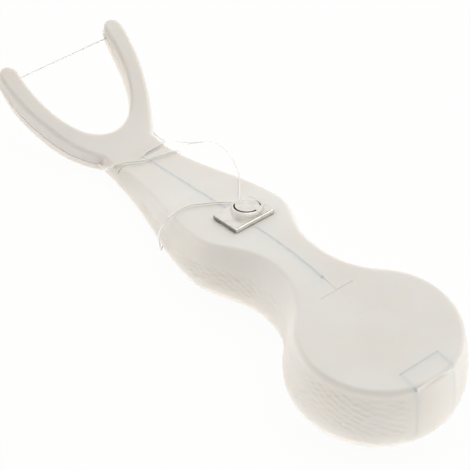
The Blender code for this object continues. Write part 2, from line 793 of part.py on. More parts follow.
def make_floss(home):
    """One floss in seven lengths, from the drum through the grooves, over the fork and back to the cutter."""
    mouth, lean = exit_line()
    feed = [mouth - lean * share for share in (2.32, 1.75, 0.92, 0.27)]
    feed += [(EXIT_X, 0.0, top_height(EXIT_X) - FLOSS_RADIUS)]
    start, end, count = EXIT_X + 3 * GAP + EXIT_RADIUS, NECK_X - 0.0008, 12
    for i in range(count + 1):
        x = start + (end - start) * i / count
        feed.append((x, 0.0, top_height(x) - GROOVE_DEPTH + GAP + FLOSS_RADIUS))
    cord("floss_feed", smooth_route(feed), home)

    arm = groove_line()
    left = smooth_route([(x, y, z) for x, y, z in arm])
    over_web = millimetres(
        (0, 0, 0.77), (0.8, -0.6, 0.47), (1.15, -3.2, 0.37), (1.3, -5.8, 0.37), (1.7, -7.2, 0.17),
        (2.4, -8.1, -0.63), (3.4, -8.5, -1.33), (4.8, -8.6, -1.83),
    )
    right_start = [(NECK_X + x, y, web_top() + z) for x, y, z in over_web]
    right = smooth_route(right_start + [(x, -y, z) for x, y, z in arm[1:]])
    cord("floss_right_arm", right, home)
    cord("floss_left_arm", left, home)
    tip = Vector(arm[-1])
    near = tip + Vector((0, -GAP, 0))
    cord("floss_span", [near.lerp(Vector((near.x, -near.y, near.z)), i / 26) for i in range(27)], home)

    wrap = millimetres(
        (87.0, 8.6, 3.6), (86.1, 8.4, 4.7), (85.4, 7.4, 5.6), (84.1, 5.4, 6.1), (82.7, 3.8, 6.7), (81.1, 2.3, 7.15),
        (80.3, -1.0, 7.2), (79.3, -3.8, 7.4), (78.8, -5.6, 7.5), (78.7, -7.2, 6.9), (79.3, -8.1, 5.2),
        (80.4, -8.5, 3.5), (81.8, -8.6, 2.1), (83.3, -8.4, 1.1), (85.0, -7.0, 0.34), (86.0, -3.6, 0.3),
        (85.2, -0.6, 0.3), (82.0, 0.2, 0.32), (75.0, 0.3, 0.34), (70.5, 1.4, 0.34), (67.0, 3.6, 0.34),
        (63.6, 6.6, 0.36), (61.8, 9.2, 0.36),
    )
    cord("floss_neck_wrap", smooth_route(wrap), home)
    loop = millimetres(
        (61.35, 9.85, 0.36), (59.9, 12.0, 0.5), (58.1, 13.6, 2.2), (57.6, 13.85, 4.4), (58.2, 13.75, 6.7),
        (57.9, 13.6, 8.8), (57.4, 13.25, 10.9), (57.1, 12.4, 12.3), (57.45, 10.6, 12.4), (57.85, 8.6, 12.3),
        (57.76, 5.84, 12.3), (56.9, 4.2, 12.48), (55.85, 2.76, 12.72), (54.5, 1.0, 13.02), (52.6, -1.0, 13.42),
        (50.9, -2.1, 13.8),
    )
    cord("floss_loop", smooth_route(loop), home)
    free = millimetres(
        (50.9, -3.5, 13.8), (52.1, -4.65, 13.53), (55.0, -6.9, 12.9), (58.3, -9.5, 12.2), (61.2, -11.35, 11.0),
        (64.2, -13.0, 9.6), (67.4, -14.6, 8.3), (71.7, -16.46, 6.4), (75.9, -17.9, 4.4), (79.2, -18.64, 2.7),
        (81.2, -18.7, 1.6), (82.9, -18.1, 0.8), (84.2, -16.9, 0.38), (85.6, -15.1, 0.3), (87.9, -12.7, 0.3),
    )
    cord("floss_free_end", smooth_route(free), home)


def main():
    home = empty("drum_axis", (DRUM_X, 0, 0))
    make_handle(home)
    make_base(home)
    make_lid(home)
    make_fork(home)
    make_bobbin(home)
    make_cutter(home)
    make_floss(home)


clear_scene()
WHITE = plastic("white_plastic", (0.80, 0.77, 0.73), 0.42)
GREY = plastic("natural_plastic", (0.72, 0.72, 0.70), 0.5)
STEEL = plastic("bright_steel", (0.62, 0.61, 0.58), 0.28, 1.0)
FLOSS = plastic("waxed_floss", (0.83, 0.83, 0.84), 0.6)
GUIDE = plastic("guide", (0.5, 0.5, 0.5), 1.0)
DRUM_X = (DRUM_RADIUS - tip_x() - ARM_WIDTH / 2) / 2
main()
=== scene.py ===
"""Refillable floss holder: the visible pieces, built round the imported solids.

Units are metres. X runs from the drum to the fork, Y across to the side with the loose loop, and Z up.
Forms are drawn from the drum's axis and moved to their place in the model when they are finished.
"""

import json
import math

import bmesh
import bpy
from bpy.props import FloatProperty, FloatVectorProperty, PointerProperty
from mathutils import Matrix, Vector, noise

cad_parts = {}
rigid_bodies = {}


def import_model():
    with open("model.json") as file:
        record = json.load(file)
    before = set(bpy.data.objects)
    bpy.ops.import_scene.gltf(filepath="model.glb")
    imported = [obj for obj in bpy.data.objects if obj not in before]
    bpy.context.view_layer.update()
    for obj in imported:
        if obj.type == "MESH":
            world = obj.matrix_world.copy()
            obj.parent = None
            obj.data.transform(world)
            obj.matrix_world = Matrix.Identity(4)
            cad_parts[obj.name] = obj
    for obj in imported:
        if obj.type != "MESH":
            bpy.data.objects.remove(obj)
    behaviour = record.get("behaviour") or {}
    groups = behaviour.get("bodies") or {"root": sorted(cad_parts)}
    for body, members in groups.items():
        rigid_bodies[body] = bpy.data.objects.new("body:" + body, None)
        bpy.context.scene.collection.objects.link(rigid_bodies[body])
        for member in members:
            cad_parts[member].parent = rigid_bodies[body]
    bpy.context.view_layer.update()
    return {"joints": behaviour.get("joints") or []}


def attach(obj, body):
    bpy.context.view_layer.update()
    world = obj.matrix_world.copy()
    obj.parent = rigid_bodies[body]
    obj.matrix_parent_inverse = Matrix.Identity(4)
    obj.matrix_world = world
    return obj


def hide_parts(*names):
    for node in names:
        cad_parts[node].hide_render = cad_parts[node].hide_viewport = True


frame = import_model()

bl_info = {
    "name": "Floss Holder",
    "version": (1, 0, 0),
    "blender": (4, 5, 0),
    "location": "3D View > Sidebar > Floss Holder",
    "description": "Builds a refillable floss holder with its lid, fork, cutter, bobbin and floss",
    "category": "Add Mesh",
}

# The drum's axis, where the bobbin turns
DRUM_X = next(joint["pos_m"][0] for joint in frame["joints"] if joint["name"] == "bobbin_spin")

# Clearance between neighbouring pieces
GAP = 0.0003

# How far a cutting form reaches past the face that it cuts
CUT_PAST = 0.001

# Rounding of thin moulded edges
EDGE_ROUND = 0.0003

# Drum
WALL_SWELL = 0.0014
GRIP_LEAN = 0.0010
SWELL_HEIGHT = 0.0062
TOP_ROUND = 0.0014
BOTTOM_ROUND = 0.0036
CAVITY_RADIUS = 0.0160
ROOF = 0.0018
DRUM_FLOOR = 0.0026

# Grip, seen from above and from the side
WAIST_FILLET = 0.0168
WAIST_X = 0.0284
WAIST_HALF = 0.0084
BULGE_X = 0.0462
NECK_X = 0.0830
TOP_FLAT_END = 0.0180
TOP_SLOPE_START = 0.0400
NECK_HEIGHT = 0.0060
HEEL_START = 0.0740
HEEL_RISE = 0.0007

# Moulded cells: how far their rows wander and swing, in rows, and how steep their sides are
CELL_DRIFT = 0.55
CELL_SWING = 0.42
CELL_STEEP = 5

# Bounds of the cells. LOW and TOP are shares of the height, and the drum has TOP_DRUM more, which ends along DRUM in x.
# Beside the strap they fade along STRAP in y, and before the neck along NECK in x
CELLS_LOW = (0.05, 0.13)
CELLS_TOP = 0.62
CELLS_TOP_DRUM = 0.24
CELLS_DRUM = (0.004, 0.020)
CELLS_STRAP = (0.0058, 0.0082)
CELLS_NECK = (0.068, 0.079)

# Hollow of the grip and the plate that closes it
HOLLOW_START = 0.0310
HOLLOW_END = 0.0700
GRIP_WALL = 0.0046
BASE_MARGIN = 0.0034
BASE_LOW = 0.0009
BASE_THICKNESS = 0.0016
BASE_END = 0.0725
BASE_START = HOLLOW_START - 0.0015

# Where neck and fork meet, their faces keep only a share of the rounding, which comes back over these lengths
JOINT_ROUND = 0.12
NECK_BLEND = 0.006
FORK_BLEND = 0.003

# Fork. WEB_BACK is how far before the root of the U the strips across the web end
FORK_LENGTH = 0.0331
FORK_DEPTH = 0.0207
ARM_FLARE_RUN = 0.0058
ARM_FLARE_OUT = 0.0045
ARM_TIP_RUN = 0.0108
ARM_ROUND = 0.0012
ARM_FOOT_ROUND = 0.0006
ARM_LEAN = 0.0003
WEB_HALF = 0.0076
WEB_STEP = 0.0006
WEB_BOTTOM = 0.0008
WEB_LENGTH = 0.0060
WEB_BACK = 0.0034
FORK_RISE_START = 0.0058
FORK_RISE_END = 0.0156
BELLY_LAG = 0.0029
FORK_ANGLE = 27.4
TIP_TAPER_LENGTH = 0.0064
TIP_TAPER = 0.0017
ARM_ROUND_SHARE = 0.224
ARM_FOOT_SHARE = 0.24
ARM_GROOVE_DEPTH = 0.00042
ARM_GROOVE_SHARE = 0.5
ARM_GROOVE_SPREAD = 0.045
SHANK_LENGTH = 0.0090
SHANK_HALF = 0.0048
SHANK_LOW = 0.0022
SHANK_COVER = 0.0014

# Post, bobbin and lid
POST_RADIUS = 0.0024
POST_END = 0.0032
POST_CHAMFER = 0.0004
BOBBIN_RADIUS = 0.0115
BOBBIN_HUB = 0.0044
BOBBIN_FLANGE = 0.0009
BOBBIN_LOW = 0.0030
BOBBIN_PLAY = 0.0007
WINDING_RADIUS = 0.0103
LID_RADIUS = 0.0134
LID_THICKNESS = 0.0020
LID_BOSS = 0.0040
LID_EDGE_GAP = 0.0004
STRAP_HALF = 0.0051
STRAP_END = 0.0124
HINGE_X = 0.0152
HINGE_Z = 0.0012
HINGE_RADIUS = 0.0010
HINGE_HALF = 0.0042
HINGE_ARM = 0.0012
TRUNNION_RADIUS = 0.0005
TRUNNION_LENGTH = 0.0010

# Marks and holes in the top
GROOVE_HALF = 0.00020
GROOVE_DEPTH = 0.0008
GROOVE_LIP = 0.00004
FEED_SUNK = 0.00018
TEE_X = 0.0132
TEE_HALF = 0.0044
TEE_WIDTH = 0.00030
TEE_DEPTH = 0.00010
TEE_LIP = 0.00006
EXIT_X = 0.0181
EXIT_RADIUS = 0.00034
EXIT_LEAN = 0.0031
EXIT_DROP = 0.0037
BOSS_MARK_RADIUS = 0.0050
BOSS_MARK_WIDTH = 0.0006
BOSS_MARK_DEPTH = 0.00007
RIM_BAR_X = -0.0174
RIM_BAR_BACK = 0.00022
RIM_BAR_FRONT = 0.00018
RIM_BAR_SUNK = 0.00005
RIM_BAR_DEPTH = 0.0008
RIM_BAR_ROUND = 0.0001
SLIT_GAP = 0.00003
SLIT_END_RADIUS = 0.00012
SLIT_MARK_Y = -0.0004
SLIT_MARK_DEPTH = 0.0006

# Cutter
CUTTER_X = 0.0458
CUTTER_Y = -0.0009
CUTTER_LENGTH = 0.0087
CUTTER_WIDTH = 0.0109
CUTTER_SHEET = 0.00035
CUTTER_LIFT = 0.0011
CUTTER_LEG_LENGTH = 0.0040
CUTTER_LEG_WIDTH = 0.0012
CUTTER_LEG_SPREAD = 0.0052
TONGUE_Y = -0.0011
DOME_RADIUS = 0.00378
DOME_RISE = 0.00110
DOME_TILT = 7.0
DOME_SKIRT = 0.0008
LIP_WIDTH = 0.00072
SLIT_WIDTH = 0.00030
DISC_SHIFT = (0.00005, -0.00006, 0)

# Where the dome's disc is left joined to its skirt, as turns in degrees about the dome's middle
DOME_BRIDGES = ((-72.0, 34.0), (186.0, 232.0))

# Way of the floss under the handle
CHANNEL_HALF = 0.0018
CHANNEL_DEPTH = 0.0009
NOTCH_FROM = (0.0635, 0.0066)
NOTCH_TO = (0.0588, 0.0136)
NOTCH_HALF = 0.0009

# Share of its radius that a strand keeps at its ends
STRAND_END = 0.55

# How finely the forms are drawn
RING_STEP = 0.00042
FORK_STEP = 0.0004
CAP_CUTS = 9
FLOSS_STEP = 0.0010
ARM_FLOSS_STEP = 0.0012
STRAND_STEP = 0.00038
WALL_LEVELS = 38
FINE = 240
FORK_FINE = 160

# Edges with a sharper turn than this, in degrees, are shaded as edges
SHARP = 35.0
FLOSS_SHARP = 60.0


def linear(code):
    """A linear colour from its sRGB hex value."""
    shares = [int(code[i:i + 2], 16) / 255 for i in (0, 2, 4)]
    return tuple(s / 12.92 if s <= 0.04045 else ((s + 0.055) / 1.055) ** 2.4 for s in shares)


def size_property(name, about, value):
    return FloatProperty(name=name, description=about, default=value, min=0.0, unit="LENGTH", precision=5)


def colour_property(name, about, code):
    return FloatVectorProperty(
        name=name, description=about, default=linear(code), size=3, subtype="COLOR", min=0.0, max=1.0,
    )


class HolderSizes(bpy.types.PropertyGroup):
    """Sizes of the holder that a user would change."""

    drum_radius: size_property("Drum radius", "Radius of the drum at its widest", 0.0195)
    drum_height: size_property("Drum height", "Height of the drum's flat top", 0.0181)
    bulge_half: size_property("Grip half width", "Half width of the grip at its bulge", 0.0139)
    neck_half: size_property("Neck half width", "Half width of the handle at the fork", 0.0081)
    fork_half_gap: size_property("Fork half gap", "Half of the gap between the fork's tips", 0.0125)
    arm_width: size_property("Arm width", "Width of one arm of the fork", 0.0056)
    grip_depth: size_property("Grip texture depth", "Depth of the moulded cells in the side walls", 0.00020)
    grip_row: size_property("Grip texture row", "Height of one row of cells", 0.0016)
    grip_length: size_property("Grip texture length", "Length of one cell", 0.0074)
    floss_radius: size_property("Floss radius", "Half of the floss's thickness", 0.0002)
    strand_pitch: size_property("Strand pitch", "Length of one turn of the floss's twist", 0.0030)


class HolderColours(bpy.types.PropertyGroup):
    """Colours of the holder's finishes."""

    plastic: colour_property("Plastic", "Warm white of the moulded handle, fork and lid", "ECE9E3")
    plastic_worn: colour_property("Plastic, handled", "Slightly yellower white where the mould's flow shows", "E8E3DA")
    bobbin: colour_property("Bobbin", "Uncoloured plastic of the bobbin", "DEDDD6")
    steel: colour_property("Steel", "Bright stamped sheet of the cutter", "E6E3DC")
    floss: colour_property("Floss", "Waxed filament", "F1F0EE")
    floor: colour_property("Floor", "Pale studio floor", "FFF9F3")


def ease(share):
    return 0.5 - 0.5 * math.cos(math.pi * share)


def clamp(value):
    return min(max(value, 0.0), 1.0)


def smooth(low, high, value):
    """A soft step from 0 at low to 1 at high."""
    share = clamp((value - low) / (high - low))
    return share * share * (3 - 2 * share)


def bend(start, end, x):
    """Rise at x of a line that is level up to start, and bends by end into a slope of one."""
    run = end - start
    bent = min(max(x - start, 0.0), run)
    return bent * bent / (2 * run) + max(x - end, 0.0)


def spread(start, end, count):
    """Values from start to end in so many like steps."""
    return [start + (end - start) * i / count for i in range(count + 1)]


def quarter(count):
    """Sines and cosines of turns that go evenly from none to a right angle."""
    return [(math.sin(turn), math.cos(turn)) for turn in spread(0.0, math.pi / 2, count)]


def arc(x, y, radius, start, end, count):
    """Points on a round from one turn to another."""
    return [Vector((x + radius * math.cos(turn), y + radius * math.sin(turn))) for turn in spread(start, end, count)]


def bezier(a, b, c, d, share):
    rest = 1 - share
    return Vector(
        rest ** 3 * p + 3 * rest ** 2 * share * q + 3 * rest * share ** 2 * r + share ** 3 * s
        for p, q, r, s in zip(a, b, c, d)
    )


def distances(points):
    """How far along a run of points each of them lies."""
    along = [0.0]
    for a, b in zip(points, points[1:]):
        along.append(along[-1] + (b - a).length)
    return along


def even_line(points, step):
    """Points a like distance apart on a run of points, with both ends kept."""
    points = [Vector(point) for point in points]
    reach = distances(points)
    even, at = [], 0
    for goal in spread(0.0, reach[-1], max(round(reach[-1] / step), 2)):
        while at < len(points) - 2 and reach[at + 1] < goal:
            at += 1
        share = (goal - reach[at]) / max(reach[at + 1] - reach[at], 1e-12)
        even.append(points[at].lerp(points[at + 1], min(share, 1.0)))
    return even


class Form:
    """The holder's lines, worked out from the panel's sizes."""

    def __init__(self, context):
        sizes = context.scene.holder_sizes
        for name in HolderSizes.__annotations__:
            setattr(self, name, getattr(sizes, name))
        self.top_slope = (self.drum_height - NECK_HEIGHT) / (NECK_X - (TOP_FLAT_END + TOP_SLOPE_START) / 2)
        self.web_top = NECK_HEIGHT - WEB_STEP
        self.shank_top = NECK_HEIGHT - SHANK_COVER
        self.tip_x = NECK_X + FORK_LENGTH

    def top_height(self, x):
        """Height of the handle's top: level over the drum, then bending into a straight slope."""
        return self.drum_height - self.top_slope * bend(TOP_FLAT_END, TOP_SLOPE_START, x)

    def heel_height(self, x):
        share = clamp((x - HEEL_START) / (NECK_X - HEEL_START))
        return HEEL_RISE * share * share

    def lean(self, x):
        return WALL_SWELL + GRIP_LEAN * ease(clamp(x / WAIST_X))

    def half_width(self, x):
        """Half width of the grip between the waist and the neck."""
        if x < WAIST_X:
            return WAIST_HALF
        if x < BULGE_X:
            return WAIST_HALF + (self.bulge_half - WAIST_HALF) * ease((x - WAIST_X) / (BULGE_X - WAIST_X))
        share = (x - BULGE_X) / (NECK_X - BULGE_X)
        return self.bulge_half + (self.neck_half - self.bulge_half) * ease(share)

    def side(self, step):
        """One side of the outline from the drum's rear to the neck."""
        rise = WAIST_HALF + WAIST_FILLET
        middle_x = math.sqrt((self.drum_radius + WAIST_FILLET) ** 2 - rise ** 2)
        meet = math.atan2(rise, middle_x)
        start = math.pi - step / (2 * self.drum_radius)
        line = arc(0, 0, self.drum_radius, start, meet, FINE)
        line += arc(middle_x, rise, WAIST_FILLET, math.pi + meet, 1.5 * math.pi, FINE)[1:-1]
        line += [(x, self.half_width(x)) for x in spread(middle_x, NECK_X, FINE)]
        return even_line(line, step)

    def fork_rise(self, along):
        """How far the fork has risen at a distance from the neck."""
        return math.tan(math.radians(FORK_ANGLE)) * bend(FORK_RISE_START, FORK_RISE_END, along)

    def fork_top(self, x):
        return self.web_top + self.fork_rise(x - NECK_X)

    def fork_bottom(self, x):
        taper = clamp((x - self.tip_x + TIP_TAPER_LENGTH) / TIP_TAPER_LENGTH)
        return WEB_BOTTOM + self.fork_rise(x - NECK_X - BELLY_LAG) + TIP_TAPER * taper * taper

    def fork_spot(self, place, share):
        """A place of the fork's plan at a share of the fork's height there."""
        low, high = self.fork_bottom(place.x), self.fork_top(place.x)
        return Vector((place.x, place.y, low + share * (high - low)))

    def fork_outer(self):
        """The outer line of one arm, from the web to the start of its round tip."""
        flare = NECK_X + GAP + WEB_LENGTH
        wide = self.fork_half_gap + self.arm_width
        knots = (
            (flare, WEB_HALF), (flare + ARM_FLARE_RUN, WEB_HALF + ARM_FLARE_OUT),
            (self.tip_x - ARM_TIP_RUN, wide), (self.tip_x, wide),
        )
        return [bezier(*knots, share) for share in spread(0.0, 1.0, FORK_FINE)]

    def fork_tip(self):
        """The round of one tip from the arm's outer line to its inner line."""
        radius = self.arm_width / 2
        return arc(self.tip_x, self.fork_half_gap + radius, radius, math.pi / 2, -math.pi / 2, 60)

    def fork_inner(self):
        """The inner line of the fork from its middle to one tip."""
        return [
            Vector((self.tip_x - FORK_DEPTH * cosine, self.fork_half_gap * sine)) for sine, cosine in quarter(FORK_FINE)
        ]


def chain_edges(shape, chain):
    return [shape.edges.get((a, b)) for a, b in zip(chain, chain[1:])]


def open_ring(shape, places):
    """A closed ring of edges through the places."""
    points = [shape.verts.new(place) for place in places]
    for a, b in zip(points, points[1:] + points[:1]):
        shape.edges.new((a, b))
    return points


def raise_ring(shape, points, places):
    """Extrudes a ring's edges and moves the new ring to its places."""
    fresh = set(bmesh.ops.extrude_edge_only(shape, edges=chain_edges(shape, points + points[:1]))["geom"])
    upper = []
    for point, place in zip(points, places):
        upper.append(next(edge.other_vert(point) for edge in point.link_edges if edge.other_vert(point) in fresh))
        upper[-1].co = place
    return upper


def fill_ring(shape, points):
    bmesh.ops.contextual_create(shape, geom=chain_edges(shape, points + points[:1]))


def stacked(rings, close):
    """A form through a stack of rings, closed below the first one, and the points of its last one."""
    shape = bmesh.new()
    points = open_ring(shape, rings[0])
    close(shape, points)
    for places in rings[1:]:
        points = raise_ring(shape, points, places)
    return shape, points


def closed_stack(rings):
    """A form through a stack of rings, closed at both ends."""
    shape, points = stacked(rings, fill_ring)
    fill_ring(shape, points)
    return shape


def swept(profile, places):
    """A bar of one section carried along a run of matrices, closed at both ends."""
    return closed_stack([[place @ Vector(spot) for spot in profile] for place in places])


def mirrored(half):
    """A ring from one side's places: the other side from rear to front, and this one back again."""
    return [Vector((p.x, -p.y, p.z)) for p in half] + list(reversed(half))


def cap_ring(shape, points, cuts=0):
    """Closes a mirrored ring with strips from side to side, and gives back the new points in between."""
    count = len(points) // 2
    right, left = points[:count], list(reversed(points[count:]))
    bmesh.ops.bridge_loops(shape, edges=chain_edges(shape, right) + chain_edges(shape, left))
    if not cuts:
        return []
    strips = [shape.edges.get((a, b)) for a, b in zip(right, left)]
    made = bmesh.ops.subdivide_edges(shape, edges=strips, cuts=cuts, use_grid_fill=True)["geom_inner"]
    return [part for part in made if isinstance(part, bmesh.types.BMVert)]


def inward_ways(line, before, after, near, joint_way):
    """For each point of half an outline, the way that it moves when the outline is drawn in.

    Close to the joint of neck and fork, where near(x) reaches 1, it moves along x by the joint's share alone.
    """
    around = [before] + line + [after]
    ways = []
    for one, here, other in zip(around, line, around[2:]):
        along = (other - one).normalized()
        share = clamp(near(here.x))
        ways.append(Vector((along.y * (1 - share) + joint_way * share, -along.x)))
    return ways


def grip_cells(form, along, height, share, here):
    """How deep the moulded cells are at a place on the wall: wavy rows that cross into lens shapes."""
    rows = height / form.grip_row
    drift = CELL_DRIFT * noise.noise(Vector((along / 0.011, height / 0.004, 0.0)))
    swing = CELL_SWING * math.sin(2 * math.pi * along / form.grip_length + 5.0 * drift)
    nearest = max(math.cos(2 * math.pi * (rows + way + drift)) for way in (swing, -swing))
    ridge = 0.5 + 0.5 * nearest
    strength = 0.75 + 0.5 * noise.noise(Vector((along / 0.007, height / 0.007, 3.0)))
    top = CELLS_TOP + CELLS_TOP_DRUM * (1 - smooth(*CELLS_DRUM, here.x))
    band = smooth(*CELLS_LOW, share) * (1 - smooth(top - 0.02, top + 0.10, share))
    rear = smooth(*CELLS_STRAP, abs(here.y)) if here.x < 0 else 1.0
    front = 1 - smooth(*CELLS_NECK, here.x)
    return (1 - ridge ** CELL_STEEP) * strength * band * rear * front


def handle_levels(form):
    """Levels of the wall as (kind of reach, amount drawn in, height) from the foot to the top edge."""
    levels = [("foot", BOTTOM_ROUND * (1 - sine), SWELL_HEIGHT * (1 - cosine)) for sine, cosine in quarter(9)[:-1]]
    wall = form.drum_height - TOP_ROUND - SWELL_HEIGHT
    for share in spread(0.0, 1.0, WALL_LEVELS - 1):
        levels.append(("wall", WALL_SWELL * share * share, SWELL_HEIGHT + wall * share))
    for sine, cosine in quarter(7)[1:]:
        levels.append(("edge", TOP_ROUND * (1 - cosine), form.drum_height - TOP_ROUND * (1 - sine)))
    return levels


def handle_form(form, step=RING_STEP, textured=True, cuts=30):
    """The handle's outer form: round below, swelling partway up, and round along its top edge."""
    side = form.side(step)
    before, after = Vector((side[0].x, -side[0].y)), side[-1] * 2 - side[-2]
    ways = inward_ways(side, before, after, lambda x: 1 - (NECK_X - x) / NECK_BLEND, -JOINT_ROUND)
    rings = []
    for kind, amount, height in handle_levels(form):
        half = []
        for here, way, along in zip(side, ways, distances(side)):
            size = form.top_height(here.x) / form.drum_height
            leaning = math.sqrt(size) * form.lean(here.x) / WALL_SWELL
            if kind == "foot":
                drawn = amount * size
            elif kind == "wall":
                drawn = amount * leaning
            else:
                drawn = WALL_SWELL * leaning + amount * math.sqrt(size)
            share = height / form.drum_height
            if textured:
                z = share * form.top_height(here.x)
                drawn += form.grip_depth * grip_cells(form, along, z, share, here)
            place = here + way * drawn
            low = form.heel_height(place.x)
            half.append(Vector((place.x, place.y, low + share * (form.top_height(place.x) - low))))
        rings.append(mirrored(half))
    shape, points = stacked(rings, cap_ring)
    for point in cap_ring(shape, points, cuts):
        x = point.co.x
        mark = (math.hypot(x, point.co.y) - BOSS_MARK_RADIUS) / BOSS_MARK_WIDTH
        point.co.z = form.top_height(x)
        if abs(mark) < 1:
            point.co.z -= BOSS_MARK_DEPTH * (0.5 + 0.5 * math.cos(math.pi * mark))
    return shape


def block(low, high):
    """A box between two corners."""
    shape = bmesh.new()
    size = Vector(high) - Vector(low)
    place = Matrix.Translation((Vector(low) + Vector(high)) / 2) @ Matrix.Diagonal((*size, 1.0))
    bmesh.ops.create_cube(shape, size=1.0, matrix=place)
    return shape


def beam(start, end, half, low, high):
    """A box across the middle: its ends in x, its half width in y and its lower and upper face."""
    return block((start, -half, low), (end, half, high))


def moved(shape, place):
    shape.transform(place)
    return shape


def rounded_block(low, high, radius, segments=3):
    shape = block(low, high)
    bmesh.ops.bevel(
        shape, geom=list(shape.edges), offset=radius, affect="EDGES", segments=segments, profile=0.5, material=-1,
    )
    return shape


def rod(start, end, radius, segments=32):
    """A round bar from one point to another."""
    start, end = Vector(start), Vector(end)
    turn = Vector((0, 0, 1)).rotation_difference(end - start).to_matrix().to_4x4()
    shape = bmesh.new()
    bmesh.ops.create_cone(
        shape, cap_ends=True, segments=segments, radius1=radius, radius2=radius,
        depth=(end - start).length, matrix=Matrix.Translation((start + end) / 2) @ turn,
    )
    return shape


def turned(profile, steps=128):
    """Spins a closed run of (radius, height) points round the drum's axis."""
    shape = bmesh.new()
    points = [shape.verts.new((max(r, 0.0), 0, z)) for r, z in profile]
    pairs = zip(points, points[1:] + points[:1])
    edges = [shape.edges.new((a, b)) for a, b in pairs if a.co.x > 0 or b.co.x > 0]
    bmesh.ops.spin(
        shape, geom=points + edges, cent=(0, 0, 0), axis=(0, 0, 1),
        angle=2 * math.pi, steps=steps, use_merge=True,
    )
    bmesh.ops.remove_doubles(shape, verts=shape.verts, dist=1e-6)
    return shape


def rounded_profile(corners, radius, segments=4):
    """A closed (radius, height) run with its corners off the axis rounded."""
    line = []
    count = len(corners)
    for i in range(count):
        before, here, after = (Vector(corners[k % count]) for k in (i - 1, i, i + 1))
        if here.x <= 0:
            line.append(here)
            continue
        reach = min(radius, (before - here).length * 0.45, (after - here).length * 0.45)
        start = here + (before - here).normalized() * reach
        end = here + (after - here).normalized() * reach
        for share in spread(0.0, 1.0, segments):
            line.append(start.lerp(here, share).lerp(here.lerp(end, share), share))
    return [(point.x, point.y) for point in line]


def plan_body(form, margin, start, end, low, high, count=60, round_by=0.0):
    """A straight-sided body on the grip's outline drawn in by a margin, from low up to high(x)."""
    side = [Vector((x, form.half_width(x) - margin)) for x in spread(start, end, count - 1)]
    levels = [(0.0, 0.0), (0.0, 1.0)]
    if round_by:
        foot = [(round_by, 0.0), (round_by * 0.3, 0.08), (0.0, 0.25)]
        levels = foot + [(drawn, 1 - share) for drawn, share in reversed(foot)]
    rings = []
    for drawn, share in levels:
        half = []
        for i, here in enumerate(side):
            x = here.x + drawn * (1 - 2 * i / (count - 1))
            half.append(Vector((x, here.y - drawn, low + share * (high(x) - low))))
        rings.append(mirrored(half))
    shape, points = stacked(rings, cap_ring)
    cap_ring(shape, points)
    return shape


def trench_section(half, depth, lip, above=0.0006):
    """Section of a groove's cutter across (y, z): a flat floor and mouths that flare to round the edges."""
    right = [(half * 0.7, -depth), (half, -depth * 0.8)]
    right += arc(half + lip, -lip, lip, math.pi, math.radians(100), 4) + [(half + lip * 1.2, above)]
    return [(0.0, y, z) for y, z in right] + [(0.0, -y, z) for y, z in reversed(right)]


def along_top(form, start, end, half, depth, lip, steps=60):
    """A groove's cutter that follows the handle's top from start to end."""
    places = []
    for x in spread(start, end, steps):
        tilt = math.atan2(form.top_height(x - 1e-4) - form.top_height(x + 1e-4), 2e-4)
        places.append(Matrix.Translation((x, 0, form.top_height(x))) @ Matrix.Rotation(tilt, 4, "Y"))
    return swept(trench_section(half, depth, lip), places)


def slot_between(start, end, half, depth):
    """A straight slot in the underside from one (x, y) place to another."""
    run = Vector(end) - Vector(start)
    place = Matrix.Translation((*start, 0)) @ Matrix.Rotation(math.atan2(run.y, run.x), 4, "Z")
    return moved(beam(0, run.length, half, -CUT_PAST, depth), place)


def new_mesh(name, shape):
    mesh = bpy.data.meshes.new(name)
    shape.to_mesh(mesh)
    shape.free()
    return mesh


def add_object(name, data, group=None):
    """An object in a group, or else in the scene."""
    made = bpy.data.objects.new(name, data)
    (group or bpy.context.scene.collection).objects.link(made)
    return made


def mesh_object(name, shape, group=None):
    """A named object from a form drawn round the drum's axis, with its place in its mesh."""
    bmesh.ops.recalc_face_normals(shape, faces=shape.faces)
    if shape.calc_volume(signed=True) < 0:
        bmesh.ops.reverse_faces(shape, faces=shape.faces)
    shape.transform(Matrix.Translation((DRUM_X, 0, 0)))
    return add_object(name, new_mesh(name, shape), group)


def shaped(target, operation, *shapes):
    """Cuts forms from an object, joins them to it or keeps only what lies in them."""
    tools = bpy.data.collections.new("shaping")
    bpy.context.scene.collection.children.link(tools)
    for number, shape in enumerate(shapes):
        mesh_object(f"shaping_{number}", shape, tools)
    step = target.modifiers.new("shaping", "BOOLEAN")
    step.operation = operation
    step.solver = "EXACT"
    step.operand_type = "COLLECTION"
    step.collection = tools
    settle(target)
    for tool in list(tools.objects):
        bpy.data.meshes.remove(tool.data)
    bpy.data.collections.remove(tools)


def settle(target):
    """Applies an object's modifiers to its mesh."""
    whole = target.evaluated_get(bpy.context.evaluated_depsgraph_get())
    mesh = bpy.data.meshes.new_from_object(whole)
    old = target.data
    target.modifiers.clear()
    target.data = mesh
    mesh.name = target.name
    bpy.data.meshes.remove(old)


def node(tree, kind, inputs=None, output=0, **settings):
    """Adds a node and gives one of its outputs; an input is a value or another node's output."""
    made = tree.nodes.new(kind)
    for name, value in settings.items():
        setattr(made, name, value)
    for name, value in (inputs or {}).items():
        if isinstance(value, bpy.types.NodeSocket):
            tree.links.new(value, made.inputs[name])
        else:
            made.inputs[name].default_value = value
    return made.outputs[output] if made.outputs else None


def speckle(tree, place, scale, detail, **inputs):
    """Noise of so many waves a metre."""
    return node(tree, "ShaderNodeTexNoise", {"Vector": place, "Scale": scale, "Detail": detail, **inputs})


def ranged(tree, value, low=0.0, high=1.0, to_low=0.0, to_high=1.0, **settings):
    """A value carried over from one range to another."""
    limits = {"From Min": low, "From Max": high, "To Min": to_low, "To Max": to_high}
    return node(tree, "ShaderNodeMapRange", {"Value": value, **limits}, **settings)


